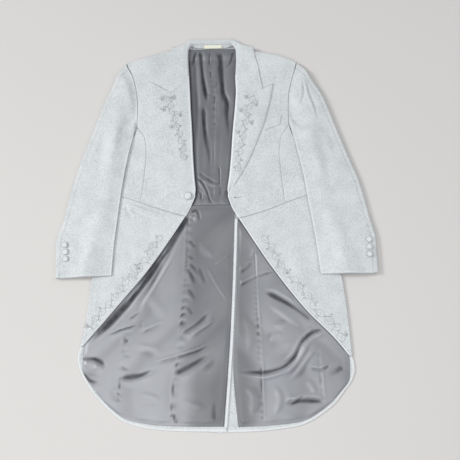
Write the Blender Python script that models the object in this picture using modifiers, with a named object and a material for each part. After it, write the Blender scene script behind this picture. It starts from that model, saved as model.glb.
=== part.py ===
"""Cutaway morning coat, laid open on its back.

Metres, +Z up. +Y runs from the hem to the collar and +X to the wearer's left.
The back panels lie flat on Z = 0, the fronts, side bodies and skirts fold over
them at the side folds, and the sleeves lie on the body's sides. The tables
below are in millimetres, with x measured outwards from the centre back.
"""
import math

import bpy
import numpy as np

MM = 0.001

# Walls and gaps, in millimetres.
CLOTH = 1.6
LINING = 1.2
LAPEL = 2.4
SEAM = 0.3
REST = 0.4
LINING_REST = 0.6
LAPEL_REST = 1.0
ARMHOLE_GAP = 0.6
HEAD_GAP = 1.4
SLEEVE_SEAM = 0.5

# Middle of the laid coat's outline, measured from the centre back at the waist: x, y.
BOX_CENTRE = (5.5, -8.8)

# Main sizes of the laid coat.
HEM_BAND = 12.0
WRAP_RETURN = 12.0
BREAK_Y = 70.0
LINING_WAIST_Y = 31.0
LINING_TOP_Y = 486.0
LINING_TUCK = 24.0
VENT_TOP_Y = 0.0
LAP_RAMP = 30.0
LAP_FULL = 3.0
LEAF_LIFT = 3.2
LEAF_FOOT_Y = 448.0
LEAF_SIDE_X = 134.0
ROLL_RADIUS = (CLOTH + 2 * REST + 2 * LAPEL) / 2
SEAM_INSIDE_ROLL = 0.9
RIDGE_WIDEST = 9.0
NECK_POINT_X = 74.0
ARMHOLE_TOP_Y = 258.0
ARMHOLE_FOOT_Y = 222.0
SLEEVE_LENGTH_SCALE = 150.0
CUFF_MOUTH = {"right": 0.0, "left": 3.0}

# Rises of the front layer over its level, with their places and spreads.
RISES = (
    # rise, x, y, spread x, spread y
    (5.0, 135.0, 255.0, 65.0, 110.0),
    (12.5, 195.0, 440.0, 80.0, 70.0),
    (5.0, 80.0, 500.0, 45.0, 45.0),
)
LEVEL = ((-400.0, 5.8), (-330.0, 6.0), (-100.0, 6.6), (30.0, 7.6), (80.0, 8.2), (520.0, 8.4))

# Upper body: y, front edge, panel seam and armhole, lapel edge.
UPPER = {
    "right": (
        (0.0, 73.0, 196.0, 40.0),
        (30.0, 58.0, 193.0, 45.0),
        (65.0, 46.5, 188.0, 52.0),
        (110.0, 50.0, 183.0, 79.0),
        (180.0, 54.0, 178.5, 117.0),
        (224.0, 55.5, 185.0, 131.0),
        (256.0, 57.0, 205.0, 140.0),
        (320.0, 60.5, 204.5, 156.0),
        (350.0, 61.5, 208.0, 166.0),
        (383.0, 63.0, 214.0, 171.0),
        (405.0, 64.0, 221.0, 172.0),
        (434.0, 66.0, 235.0, 173.0),
        (500.0, 68.0, 250.0, 174.0),
    ),
    "left": (
        (-6.0, 64.0, 189.0, 36.0),
        (26.0, 46.0, 185.0, 38.0),
        (65.0, 36.0, 183.0, 41.0),
        (113.0, 42.0, 179.0, 73.0),
        (172.0, 48.0, 176.0, 104.0),
        (218.0, 51.5, 184.0, 123.0),
        (254.0, 55.0, 205.0, 137.0),
        (300.0, 60.0, 206.0, 151.0),
        (341.0, 63.5, 209.0, 161.0),
        (372.0, 66.0, 216.0, 166.0),
        (390.0, 67.0, 221.0, 167.0),
        (428.0, 69.0, 232.0, 168.0),
        (500.0, 71.0, 248.0, 170.0),
    ),
}

# Whole length: y, side fold, side-back seam (the back armhole above y = 240).
LENGTH = {
    "right": (
        (-530.0, 340.0, 107.0),
        (-490.0, 338.0, 106.0),
        (-330.0, 331.0, 90.0),
        (-256.0, 319.0, 84.0),
        (-151.0, 309.0, 73.0),
        (-60.0, 286.0, 67.0),
        (31.0, 262.0, 70.0),
        (60.0, 257.0, 80.0),
        (120.0, 248.0, 110.0),
        (180.0, 243.0, 150.0),
        (205.0, 241.0, 172.0),
        (240.0, 239.0, 213.0),
        (300.0, 238.0, 215.0),
        (350.0, 238.0, 219.0),
        (400.0, 238.0, 226.0),
        (434.0, 238.0, 235.0),
    ),
    "left": (
        (-530.0, 340.0, 117.0),
        (-490.0, 338.0, 116.0),
        (-362.0, 333.0, 114.0),
        (-256.0, 329.0, 108.0),
        (-156.0, 320.0, 103.0),
        (-60.0, 292.0, 97.0),
        (31.0, 262.0, 94.0),
        (60.0, 256.0, 98.0),
        (120.0, 247.0, 119.0),
        (180.0, 243.0, 152.0),
        (205.0, 241.0, 173.0),
        (240.0, 238.0, 212.0),
        (300.0, 236.0, 213.0),
        (350.0, 235.0, 216.0),
        (400.0, 234.0, 223.0),
        (428.0, 233.0, 232.0),
    ),
}

# Waist seam on the front layer and on the back layer: x, y.
FRONT_WAIST = {
    "right": ((66.0, 0.0), (89.0, 5.0), (166.0, 31.0), (200.0, 44.0), (242.0, 58.0), (270.0, 66.0)),
    "left": ((56.0, -7.0), (80.0, -3.0), (120.0, 8.0), (159.0, 21.0), (183.0, 31.0), (270.0, 60.0)),
}
BACK_WAIST = {
    "right": ((60.0, 31.0), (160.0, 46.0), (270.0, 66.0)),
    "left": ((80.0, 31.0), (160.0, 42.0), (270.0, 60.0)),
}

# Armhole bottom, cut into the side body: x, y.
ARMHOLE_BOTTOM = ((204.0, 257.0), (208.0, 236.0), (213.0, 221.0), (225.0, 207.0), (242.0, 198.0))
BACK_ARMHOLE_BOTTOM = ((212.0, 240.0), (225.0, 209.0), (242.0, 198.0))

# Shoulder line seen from above, under the collar where that covers it: x, y.
SHOULDER = {
    "right": ((62.0, 500.0), (81.0, 492.5), (112.0, 483.5), (130.0, 479.5), (173.0, 464.0), (245.0, 440.0)),
    "left": ((62.0, 500.0), (85.0, 488.5), (112.0, 476.5), (130.0, 473.5), (176.0, 462.0), (245.0, 433.0)),
}
NECK_Y = 489.0

# Cutaway edge of each skirt, from the waist to where it meets the side fold: y, x.
CUTAWAY = {
    "right": ((-322.0, 324.0), (-226.0, 242.0), (-140.0, 170.0), (-65.0, 117.0), (2.0, 73.0)),
    "left": ((-356.0, 326.0), (-313.0, 292.0), (-248.0, 230.0), (-139.0, 148.0), (-6.0, 64.0)),
}

# Hem from the side fold's foot round to the side-back seam and the vent: x, y.
HEM_SIDE = {
    "right": ((333.0, -334.0), (335.5, -350.0), (330.0, -374.0), (312.0, -408.0), (290.0, -436.0)),
    "left": ((335.0, -366.0), (337.0, -386.0), (329.0, -410.0), (307.0, -438.0), (282.0, -466.0)),
}
HEM_FOOT = {
    "right": ((290.0, -436.0), (261.0, -465.0), (217.0, -498.0), (187.0, -508.0), (142.0, -516.5),
              (86.0, -521.0), (-26.0, -524.0)),
    "left": ((282.0, -466.0), (249.0, -489.0), (223.0, -504.0), (194.0, -514.0), (148.0, -520.0),
             (103.0, -524.0), (0.0, -526.0)),
}

# Centre vent: y, how far the wearer's right panel laps past the centre.
VENT_EDGE = ((-525.0, 25.0), (-309.0, 44.0), (-109.0, 56.0), (-4.0, 61.0))
VENT_FACING = 8.0
UNDER_FACING = ((-525.0, 52.0), (-384.0, 42.0), (-300.0, 46.5), (-109.0, 57.5), (31.0, 63.0))

# Gorge line under the collar, and the lapel's peak: x, y.
GORGE = {
    "right": ((62.0, 401.0), (111.0, 349.0), (140.0, 366.0), (172.0, 384.0)),
    "left": ((66.0, 394.0), (105.0, 345.0), (137.0, 357.0), (167.0, 371.0)),
}

# Sleeve: share of its length, inner edge x and y, outer edge x and y.
SLEEVE = {
    "right": (
        (0.00, 213.0, 222.0, 236.0, 443.0),
        (0.04, 214.0, 217.0, 253.0, 424.0),
        (0.10, 216.0, 208.0, 268.0, 388.0),
        (0.20, 221.0, 185.0, 294.0, 325.0),
        (0.35, 229.0, 140.0, 326.0, 232.0),
        (0.50, 236.0, 92.0, 354.0, 149.0),
        (0.65, 242.0, 40.0, 374.0, 72.0),
        (0.80, 248.0, -20.0, 390.0, -5.0),
        (0.90, 253.0, -75.0, 405.0, -70.0),
        (1.00, 257.0, -150.0, 402.0, -155.0),
    ),
    "left": (
        (0.00, 213.0, 224.0, 233.0, 437.0),
        (0.04, 214.0, 219.0, 254.0, 418.0),
        (0.10, 217.0, 208.0, 272.0, 385.0),
        (0.20, 222.0, 180.0, 300.0, 337.0),
        (0.35, 231.0, 134.0, 333.0, 240.0),
        (0.50, 238.0, 86.0, 363.0, 150.0),
        (0.65, 244.0, 34.0, 385.0, 85.0),
        (0.80, 251.0, -18.0, 403.0, -5.0),
        (0.90, 258.0, -75.0, 414.5, -70.0),
        (1.00, 265.0, -156.0, 412.0, -156.0),
    ),
}
SLEEVE_LOFT = ((0.0, 12.0), (0.06, 16.5), (0.16, 17.0), (0.35, 15.5), (0.7, 13.5), (0.9, 13.0), (1.0, 13.0))
HEAD_LOFT = 7.0
HEAD_LEAN = 0.1
HINDARM = 0.945
FOREARM = 0.10

# Collar: station, roll x and y and height, outward angle, reach, leaf, share of standing neck.
COLLAR = (
    (0.00, 64.0, 400.0, 11.3, 180.0, 200.0, 74.0, 0.0),
    (0.12, 65.6, 428.0, 11.6, 180.0, 200.0, 61.0, 0.0),
    (0.26, 66.7, 455.0, 12.4, 172.0, 120.0, 52.0, 0.0),
    (0.40, 66.8, 475.0, 14.0, 150.0, 36.0, 50.0, 0.1),
    (0.55, 63.0, 490.0, 16.0, 127.0, 17.0, 48.0, 0.45),
    (0.70, 54.0, 499.0, 17.5, 106.0, 10.0, 46.0, 0.85),
    (0.84, 34.0, 499.5, 18.0, 95.0, 7.0, 46.0, 1.0),
    (1.00, 0.0, 498.5, 18.0, 90.0, 6.0, 46.0, 1.0),
)

COLLAR_STATIONS = (0.0, 0.12, 0.24, 0.32, 0.36, 0.39, 0.43, 0.5, 0.58, 0.66, 0.76, 0.88)
LEAF_DROP = 7.0
# Standing neck behind the roll: outward distance, drop below the roll.
STANDING = ((0.0, 0.6), (-2.6, 2.2), (-4.6, 4.6), (-6.4, 7.0), (-8.4, 9.4), (-10.4, 11.6))

# Folds of the lining: x and y of both ends, half width, height.
UPPER_FOLDS = (
    (-38.0, 470.0, -20.0, 330.0, 7.0, 4.5),
    (-16.0, 300.0, 2.0, 150.0, 8.0, 4.0),
    (22.0, 465.0, 34.0, 250.0, 8.0, 5.0),
    (-30.0, 230.0, -22.0, 60.0, 7.0, 3.5),
    (18.0, 220.0, 8.0, 60.0, 8.0, 3.5),
)
SKIRT_FOLDS = {
    "right": (
        (60.0, -150.0, -10.0, -270.0, 12.0, 3.5),
        (84.0, -300.0, 10.0, -220.0, 10.0, 4.0),
        (215.0, -400.0, 120.0, -385.0, 13.0, 4.5),
        (120.0, -130.0, 150.0, -230.0, 12.0, 3.0),
        (200.0, -290.0, 120.0, -262.0, 11.0, 3.5),
        (80.0, -420.0, 20.0, -360.0, 12.0, 3.0),
    ),
    "left": (
        (130.0, -196.0, 205.0, -262.0, 12.0, 4.5),
        (262.0, -300.0, 185.0, -366.0, 12.0, 5.5),
        (185.0, -366.0, 80.0, -392.0, 11.0, 4.0),
        (262.0, -446.0, 165.0, -466.0, 11.0, 4.0),
        (265.0, -385.0, 300.0, -395.0, 10.0, 3.0),
        (80.0, -210.0, 150.0, -160.0, 10.0, 2.5),
    ),
}

# Buttons: x, y, radius, height.
CUFF_BUTTON = (7.5, 4.0)
CUFF_BUTTONS = {
    "right": ((380.0, -70.0), (377.5, -88.0), (376.0, -106.0)),
    "left": ((394.0, -70.0), (393.0, -89.0), (392.0, -108.0)),
}
FRONT_BUTTON = (67.0, 55.0, 10.0, 5.0)

# Chest welt, on the wearer's left: its four corners and its wall.
WELT = ((139.5, 234.0), (181.0, 251.0), (143.5, 263.0), (188.0, 281.0))
WELT_WALL = 1.2

# Neck label: half width, its lower and upper share of the standing neck, wall.
LABEL = (24.5, 0.30, 0.82, 1.0)
LABEL_X = 3.0

COLOURS = {
    "cloth": ((0.62, 0.65, 0.67), 0.82),
    "lining": ((0.20, 0.21, 0.24), 0.42),
    "label": ((0.88, 0.86, 0.72), 0.70),
    "button": ((0.64, 0.67, 0.69), 0.75),
}


def through(points, at):
    """Return a monotone cubic through (x, y) rows, held level past both ends."""
    rows = np.array(sorted((row[0], row[1]) for row in points), float)
    xs, ys = rows[:, 0], rows[:, 1]
    at = np.clip(np.asarray(at, float), xs[0], xs[-1])
    step = np.diff(xs)
    slope = np.diff(ys) / step
    tangent = np.zeros_like(ys)
    tangent[0], tangent[-1] = slope[0], slope[-1]
    turns = slope[:-1] * slope[1:] <= 0
    before = np.where(turns, 1.0, slope[:-1])
    after = np.where(turns, 1.0, slope[1:])
    first = 2 * step[1:] + step[:-1]
    second = step[1:] + 2 * step[:-1]
    mean = (first + second) / (first / before + second / after)
    tangent[1:-1] = np.where(turns, 0.0, mean)
    cell = np.clip(np.searchsorted(xs, at, side="right") - 1, 0, len(step) - 1)
    t = (at - xs[cell]) / step[cell]
    start = (2 * t**3 - 3 * t**2 + 1) * ys[cell] + (t**3 - 2 * t**2 + t) * step[cell] * tangent[cell]
    end = (3 * t**2 - 2 * t**3) * ys[cell + 1] + (t**3 - t**2) * step[cell] * tangent[cell + 1]
    return start + end


def column(rows, index):
    """Return (first column, chosen column) pairs of a table."""
    return [(row[0], row[index]) for row in rows]


def smooth(value):
    """Return the soft step that goes from 0 to 1 as value does."""
    value = np.clip(value, 0.0, 1.0)
    return value * value * (3 - 2 * value)


def spread(*stops):
    """Return the stops of a grid as an array."""
    return np.array(stops, float)


def coons(bottom, top, left, right):
    """Fill four edges: bottom and top run outwards, left and right run upwards."""
    across = np.linspace(0, 1, len(bottom))
    across = edge_shares(bottom, top, across)
    up = edge_shares(left, right, np.linspace(0, 1, len(left)))
    a = across[None, :, None]
    b = up[:, None, None]
    rows = (1 - b) * bottom[None] + b * top[None]
    columns = (1 - a) * left[:, None] + a * right[:, None]
    corners = (1 - b) * ((1 - a) * bottom[0] + a * bottom[-1]) + b * ((1 - a) * top[0] + a * top[-1])
    return rows + columns - corners


def edge_shares(first, second, fallback):
    """Return how far each point lies along a pair of edges, as a mean share."""
    shares = []
    for edge in (first, second):
        run = np.concatenate([[0.0], np.cumsum(np.linalg.norm(np.diff(edge, axis=0), axis=1))])
        shares.append(run / run[-1] if run[-1] > 1.0 else fallback)
    return (shares[0] + shares[1]) / 2


def along_y(rule, start, end, shares):
    """Points (rule(y), y) for y from start to end."""
    y = start + (end - start) * shares
    return np.stack([rule(y), y], axis=1)


def along_x(rule, start, end, shares):
    """Points (x, rule(x)) for x from start to end."""
    x = start + (end - start) * shares
    return np.stack([x, rule(x)], axis=1)


def along_points(points, shares):
    """Points at the given shares of a smooth line through a short list."""
    points = np.array(points, float)
    run = np.concatenate([[0.0], np.cumsum(np.linalg.norm(np.diff(points, axis=0), axis=1))])
    run /= run[-1]
    x = through(list(zip(run, points[:, 0])), shares)
    y = through(list(zip(run, points[:, 1])), shares)
    return np.stack([x, y], axis=1)


class Half:
    """One half of the coat: the wearer's right (-X) or left (+X)."""

    def __init__(self, name):
        self.name = name
        self.sign = -1.0 if name == "right" else 1.0
        self.waist_y = UPPER[name][0][0]
        self.fold_foot = CUTAWAY[name][0][0]

    def front_edge(self, y):
        return through(column(UPPER[self.name], 1), y)

    def panel_seam(self, y):
        return through(column(UPPER[self.name], 2), y)

    def lapel_edge(self, y):
        return through(column(UPPER[self.name], 3), y)

    def fold(self, y):
        return through(column(LENGTH[self.name], 1), y)

    def back_seam(self, y):
        return through(column(LENGTH[self.name], 2), y)

    def cutaway(self, y):
        return through(CUTAWAY[self.name], y)

    def front_waist(self, x):
        return through(FRONT_WAIST[self.name], x)

    def back_waist(self, x):
        return through(BACK_WAIST[self.name], x)

    def shoulder(self, x):
        return through(SHOULDER[self.name], x)

    def gorge(self, x):
        points = np.array(GORGE[self.name])
        return np.interp(x, points[:, 0], points[:, 1])

    def shell(self, x, y):
        """Height of the front layer's outer face."""
        height = through(LEVEL, y)
        for rise, rise_x, rise_y, spread_x, spread_y in RISES:
            away = ((x - rise_x) / spread_x) ** 2 + ((y - rise_y) / spread_y) ** 2
            height = height + rise * np.exp(-away)
        return height

    def floor(self, x, y):
        """Height of the back panels' outer face: flat, but lifted over the collar's leaf and the vent."""
        lift = LEAF_LIFT * smooth((y - LEAF_FOOT_Y) / 16) * smooth((LEAF_SIDE_X - np.abs(x)) / 14)
        if self.name == "right":
            lap = np.clip((LAP_RAMP - x) / (LAP_RAMP - LAP_FULL), 0, 1)
            lift = lift + (CLOTH + SEAM) * lap * np.clip((36 - y) / 30, 0, 1)
        return lift

    def cover(self, x, y, wide):
        """Height that a sleeve's under layer needs to clear the body's side."""
        reach = 46.0 + 14.0 * wide
        inside = smooth((self.fold(y) + reach - x) / (reach - 14.0))
        armhole = np.minimum(through(ARMHOLE_BOTTOM, x), ARMHOLE_FOOT_Y)
        below = smooth((armhole + 58 - y) / 28)
        return (self.shell(x, y) + LINING_REST) * inside * below

    def place(self, x, y, z):
        """Turn outward x, y and z in millimetres into metres on this half."""
        return np.stack([self.sign * x, y, z], axis=-1) * MM


RIGHT = Half("right")
LEFT = Half("left")
HALVES = (RIGHT, LEFT)


def start_scene():
    """Empty the file; make the collection that holds the coat, and the empty that centres it."""
    for thing in list(bpy.data.objects):
        bpy.data.objects.remove(thing)
    collection = bpy.data.collections.new("morning_coat")
    bpy.context.scene.collection.children.link(collection)
    root = bpy.data.objects.new("coat_centre", None)
    root.location = (-BOX_CENTRE[0] * MM, -BOX_CENTRE[1] * MM, 0.0)
    collection.objects.link(root)
    return collection, root


def make_materials():
    """One Principled BSDF for each kind of cloth."""
    made = {}
    for name, (colour, roughness) in COLOURS.items():
        material = bpy.data.materials.new(name)
        material.use_nodes = True
        shader = material.node_tree.nodes["Principled BSDF"]
        shader.inputs["Base Color"].default_value = (*colour, 1.0)
        shader.inputs["Roughness"].default_value = roughness
        made[name] = material
    return made


COLLECTION, ROOT = start_scene()
MATERIALS = make_materials()


def add_object(name, mesh, material):
    """Link a mesh as a named object with its material."""
    mesh.materials.append(MATERIALS[material])
    thing = bpy.data.objects.new(name, mesh)
    thing.parent = ROOT
    COLLECTION.objects.link(thing)
    return thing


def sheet(name, grid, wall, material, flip=False, keep=None):
    """Make a cloth wall whose outer face is the grid, rows by columns of points in metres.

    keep marks the cells that have cloth; the wall goes inwards from the outer face.
    """
    rows, columns = grid.shape[:2]
    if keep is None:
        keep = np.ones((rows - 1, columns - 1), bool)
    index = np.arange(rows * columns).reshape(rows, columns)
    corners = np.stack([index[:-1, :-1], index[:-1, 1:], index[1:, 1:], index[1:, :-1]], axis=-1)[keep]
    if flip:
        corners = corners[:, ::-1]
    used, faces = np.unique(corners, return_inverse=True)
    points = grid.reshape(-1, 3)[used]
    mesh = bpy.data.meshes.new(name)
    mesh.from_pydata(points.tolist(), [], faces.reshape(-1, 4).tolist())
    mesh.shade_smooth()
    thing = add_object(name, mesh, material)
    shell = thing.modifiers.new("wall", "SOLIDIFY")
    shell.thickness = wall * MM
    shell.offset = -1.0
    return thing


def half_turn(x, y, height, low, angles, direction=(1.0, 0.0)):
    """Carry a layer round a fold: from height down to low, bulging along direction.

    x, y are the points where the fold starts; each gets one column of points for each angle.
    """
    radius = (height - low) / 2
    out = np.minimum(radius, RIDGE_WIDEST)
    angle = np.radians(angles)[None, :]
    reach = out[:, None] * np.sin(angle)
    px = x[:, None] + direction[0] * reach
    py = y[:, None] + direction[1] * reach
    pz = ((height + low) / 2)[:, None] + radius[:, None] * np.cos(angle)
    return px, py, pz


def fold_start(half, y):
    """Where the front layer starts to turn at the side fold."""
    edge = half.fold(y)
    return edge - half.shell(edge, y) / 2


TURN = spread(36, 72, 108, 144)
SIDE_ACROSS = spread(0, 0.12, 0.28, 0.55, 1)
SKIRT_UP = spread(0, 0.07, 0.2, 0.36, 0.52, 0.68, 0.84, 1)
SKIRT_DOWN = spread(0, 0.2, 0.4, 0.7, 1)


def wrapped_sheet(half, top_xy, back_xy):
    """Join a front-layer grid and a back-layer grid round the side fold."""
    top_z = half.shell(top_xy[..., 0], top_xy[..., 1])
    x, y = top_xy[:, -1, 0], top_xy[:, -1, 1]
    turn = half_turn(x, y, top_z[:, -1], np.zeros_like(x), TURN)
    back_z = np.zeros(back_xy.shape[:2])
    xs = np.hstack([top_xy[..., 0], turn[0], back_xy[..., 0]])
    ys = np.hstack([top_xy[..., 1], turn[1], back_xy[..., 1]])
    zs = np.hstack([top_z, turn[2], back_z])
    return half.place(xs, ys, zs)


def ridge_start(half, x):
    """Where the front and back layers start to turn over the shoulder."""
    y = half.shoulder(x)
    return y - np.minimum(half.shell(x, y) / 2, RIDGE_WIDEST)


def ridge_turn(half, x, y, height, low, angles):
    """Carry a layer over the shoulder; its last column leans out beside the sleeve head."""
    px, py, pz = half_turn(x, y, height, low, angles, (0.0, 1.0))
    px[-1] += HEAD_LEAN * (py[-1] - y[-1])
    return px, py, pz


def ridge_columns(half):
    """Where the front and the back both have points along the shoulder."""
    point_x = half.fold(400.0)
    for _ in range(8):
        point_y = ridge_start(half, point_x)
        point_x = min(half.panel_seam(point_y), half.back_seam(point_y)) - SEAM
    return NECK_POINT_X + (point_x - NECK_POINT_X) * spread(0, 0.25, 0.5, 0.75, 1)


def waist_columns(half):
    """Where the front, the side body and the skirt share points on the waist seam."""
    waist_in = half.front_edge(half.waist_y)
    panel = half.panel_seam(half.front_waist(190.0))
    front = waist_in + (panel - SEAM / 2 - waist_in) * spread(0, 0.25, 0.5, 0.75, 1)
    fold_x = fold_start(half, 60.0)
    side = panel + SEAM / 2 + (fold_x - panel - SEAM / 2) * SIDE_ACROSS
    return front, side


def panel_levels(half):
    """Heights up the panel seam that the front and the side body share."""
    foot = half.front_waist(190.0) + SEAM / 2
    return foot + (256.0 - foot) * spread(0, 0.16, 0.34, 0.55, 0.71, 0.85, 1)


def armhole_levels(half, *stops):
    """Heights of the sleeve's points on the armhole, which the front and the back share."""
    h = np.array(stops)
    return sleeve_ring(half, np.zeros_like(h), h, True)[1]


def back_levels(half):
    """Heights up the side-back seam that the side body and the back share."""
    foot = LINING_WAIST_Y + SEAM / 2
    return foot + (240.0 - foot) * spread(0, 0.16, 0.34, 0.55, 0.71, 0.85, 1)


def skirt_levels(half):
    """Heights up the side-back seam that the skirt and the back share."""
    return half.fold_foot + (LINING_WAIST_Y - SEAM / 2 - half.fold_foot) * SKIRT_UP


def low_levels(half):
    """Heights of the same seam below the side fold's foot, down to the hem."""
    end_x = half.back_seam(-518.0)
    end_y = through(HEM_FOOT[half.name], end_x)
    return half.fold_foot + (end_y - half.fold_foot) * SKIRT_DOWN


def make_front(half):
    """Front of the upper body, from the waist seam over the shoulder ridge."""
    def inner(y):
        return half.front_edge(y) + (ROLL_RADIUS + SEAM_INSIDE_ROLL) * smooth((y - BREAK_Y + 16) / 12)

    waist_x = waist_columns(half)[0]
    bottom = np.stack([waist_x, half.front_waist(waist_x) + SEAM / 2], axis=1)
    top_x = ridge_columns(half)
    top = np.stack([top_x, ridge_start(half, top_x)], axis=1)
    edge_y = spread(30, 54, 66, 120, 180, 240, 290, 340, 390, 435)
    armhole_y = armhole_levels(half, 0.24, 0.48, 0.72, HINDARM)
    left_y = np.concatenate([[bottom[0, 1]], edge_y, [top[0, 1]]])
    right_y = np.concatenate([panel_levels(half), armhole_y, [top[-1, 1]]])
    left = np.stack([inner(left_y), left_y], axis=1)
    right = np.stack([half.panel_seam(right_y) - SEAM / 2, right_y], axis=1)
    left[0], left[-1] = bottom[0], top[0]
    right[0], right[-1] = bottom[-1], top[-1]
    grid = coons(bottom, top, left, right)
    height = half.shell(grid[..., 0], grid[..., 1])
    x, y = grid[-1, :, 0], grid[-1, :, 1]
    turn = ridge_turn(half, x, y, height[-1], half.floor(x, y), spread(28, 56, 84, 101, 106.5))
    xs = np.vstack([grid[..., 0], turn[0].T])
    ys = np.vstack([grid[..., 1], turn[1].T])
    zs = np.vstack([height, turn[2].T])
    sheet(f"front_{half.name}", half.place(xs, ys, zs), CLOTH, "cloth", flip=half is RIGHT)


def make_side(half):
    """Side body, from the panel seam round the side fold to the side-back seam."""
    back_across = spread(0, 0.33, 0.67, 1)
    waist_x = waist_columns(half)[1]
    waist = np.stack([waist_x, half.front_waist(waist_x) + SEAM / 2], axis=1)
    arm_x = 205.0 + SEAM + (fold_start(half, 198.0) - 205.0 - SEAM) * SIDE_ACROSS
    armhole = np.stack([arm_x, through(ARMHOLE_BOTTOM, arm_x)], axis=1)
    left_y = panel_levels(half)
    left = np.stack([half.panel_seam(left_y) + SEAM / 2, left_y], axis=1)
    left[0], left[-1] = waist[0], armhole[0]
    share = (left_y - left_y[0]) / (left_y[-1] - left_y[0])
    right = along_y(lambda y: fold_start(half, y), waist[-1, 1], armhole[-1, 1], share)
    right[0], right[-1] = waist[-1], armhole[-1]
    top = coons(waist, armhole, left, right)
    back_y = back_levels(half)
    outer = np.stack([half.back_seam(back_y) + SEAM / 2, back_y], axis=1)
    back_waist = back_waist_row(half, waist[-1], outer[0], SEAM / 2, back_across)
    back_arm = along_x(lambda x: through(BACK_ARMHOLE_BOTTOM, x), armhole[-1, 0], outer[-1, 0], back_across)
    back_arm[0], back_arm[-1] = armhole[-1], outer[-1]
    back = coons(back_waist, back_arm, right, outer)
    grid = wrapped_sheet(half, top, back)
    sheet(f"side_{half.name}", grid, CLOTH, "cloth", flip=half is RIGHT)


def back_waist_row(half, fold_point, seam_point, gap, across):
    """Waist seam on the back layer, which the side body and the skirt share."""
    x = fold_point[0] + (half.back_seam(LINING_WAIST_Y) - fold_point[0]) * across
    row = np.stack([x, half.back_waist(x) + gap], axis=1)
    row[0], row[-1] = fold_point, seam_point
    return row


def make_skirt(half):
    """Skirt: front layer from the cutaway edge, round the side fold, back layer to the hem."""
    back_across = spread(0, 0.33, 0.67, 1)
    front_x, side_x = waist_columns(half)
    waist_x = np.concatenate([front_x[:-1], [(front_x[-1] + side_x[0]) / 2], side_x[1:]])
    waist = np.stack([waist_x, half.front_waist(waist_x) - SEAM / 2], axis=1)
    foot = half.fold_foot
    cutaway = along_y(half.cutaway, foot, waist[0, 1], SKIRT_UP)
    cutaway[-1] = waist[0]
    side = along_y(lambda y: fold_start(half, y), foot, waist[-1, 1], SKIRT_UP)
    side[-1] = waist[-1]
    foot_row = np.linspace(cutaway[0], side[0], len(waist_x))
    top = coons(foot_row, waist, cutaway, side)
    levels = skirt_levels(half)
    seam = np.stack([half.back_seam(levels) + SEAM / 2, levels], axis=1)
    back_waist = back_waist_row(half, waist[-1], seam[-1], -SEAM / 2, back_across)
    back_foot = np.linspace(side[0], seam[0], len(back_across))
    back = coons(back_foot, back_waist, side, seam)
    grid = wrapped_sheet(half, top, back)

    low_y = low_levels(half)
    low_seam = np.stack([half.back_seam(low_y) + SEAM / 2, low_y], axis=1)
    corner = HEM_SIDE[half.name][-1]
    hem_foot = [corner] + [(x, y) for x, y in HEM_FOOT[half.name][1:] if x > low_seam[-1, 0] + 8]
    hem_foot.append(tuple(low_seam[-1]))
    bottom = along_points(hem_foot, back_across)
    hem_side = along_points([tuple(side[0])] + list(HEM_SIDE[half.name]), SKIRT_DOWN)
    lower = coons(back_foot, bottom, hem_side, low_seam)[::-1][:-1]
    wide = grid.shape[1]
    lower_grid = np.zeros((len(lower), wide, 3))
    lower_grid[:, -len(back_across):] = half.place(lower[..., 0], lower[..., 1], np.zeros(lower.shape[:2]))
    whole = np.vstack([lower_grid, grid])
    keep = np.ones((len(whole) - 1, wide - 1), bool)
    keep[:len(lower), :wide - len(back_across)] = False
    sheet(f"skirt_{half.name}", whole, CLOTH, "cloth", flip=half is RIGHT, keep=keep)


def make_back(half):
    """Back panel, flat on the floor, from the hem up to the neck and the shoulder seam."""
    neck_start = NECK_Y - 8.0
    seam_levels = np.concatenate([low_levels(half)[::-1][:-1], skirt_levels(half)[:-1], spread(-6, 6),
                                  back_levels(half), armhole_levels(half, 0.3, 0.55, 0.8)])
    seam_levels = np.sort(seam_levels)
    low = seam_levels[0]
    ridge_x = ridge_columns(half)
    neck_x = spread(SEAM / 2, 34.0, 62.0)
    top_x = np.concatenate([neck_x, ridge_x])
    top_y = np.concatenate([np.full(3, neck_start), ridge_start(half, ridge_x)])
    rows = []
    for y in seam_levels:
        outer = float(half.back_seam(y)) - SEAM / 2
        laps = half is RIGHT and y < VENT_TOP_Y
        edge = -float(through(VENT_EDGE, y)) if laps else SEAM / 2
        inside = LAP_RAMP + (outer - LAP_RAMP) * spread(0.2, 0.4, 0.6, 0.8, 1)
        even = np.concatenate([spread(edge, LAP_FULL, LAP_RAMP), inside])
        full = top_x * outer / top_x[-1]
        full[0] = SEAM / 2
        blend = smooth((y - 120) / 230)
        x = even * (1 - blend) + full * blend
        level = np.full_like(x, y)
        if y == low:
            level = through(HEM_FOOT[half.name], x)
            level[-1] = y
        rows.append((x, level))
    last_x, last_y = rows[-1]
    for share in spread(0.3, 0.62, 1):
        x = last_x + (top_x - last_x) * share
        y = last_y + (top_y - last_y) * share
        x[-1] = min(x[-1], half.back_seam(y[-1]) - SEAM / 2)
        rows.append((x, y))
    xs = np.array([row[0] for row in rows])
    ys = np.array([row[1] for row in rows])
    zs = half.floor(xs, ys)
    x, y, low_z = xs[-1], ys[-1], zs[-1]
    height = half.shell(x, y)
    turn = ridge_turn(half, x, y, height, low_z, spread(156, 134, 122, 116.5))
    on_neck = (x < NECK_POINT_X - 1)[:, None]
    turn_y = np.where(on_neck, y[:, None] + spread(2.6, 5.3, 6.8, 8.0)[None, :], turn[1])
    turn_z = np.where(on_neck, low_z[:, None], turn[2])
    xs = np.vstack([xs, turn[0].T])
    ys = np.vstack([ys, turn_y.T])
    zs = np.vstack([zs, turn_z.T])
    sheet(f"back_{half.name}", half.place(xs, ys, zs), CLOTH, "cloth", flip=half is LEFT)


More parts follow.
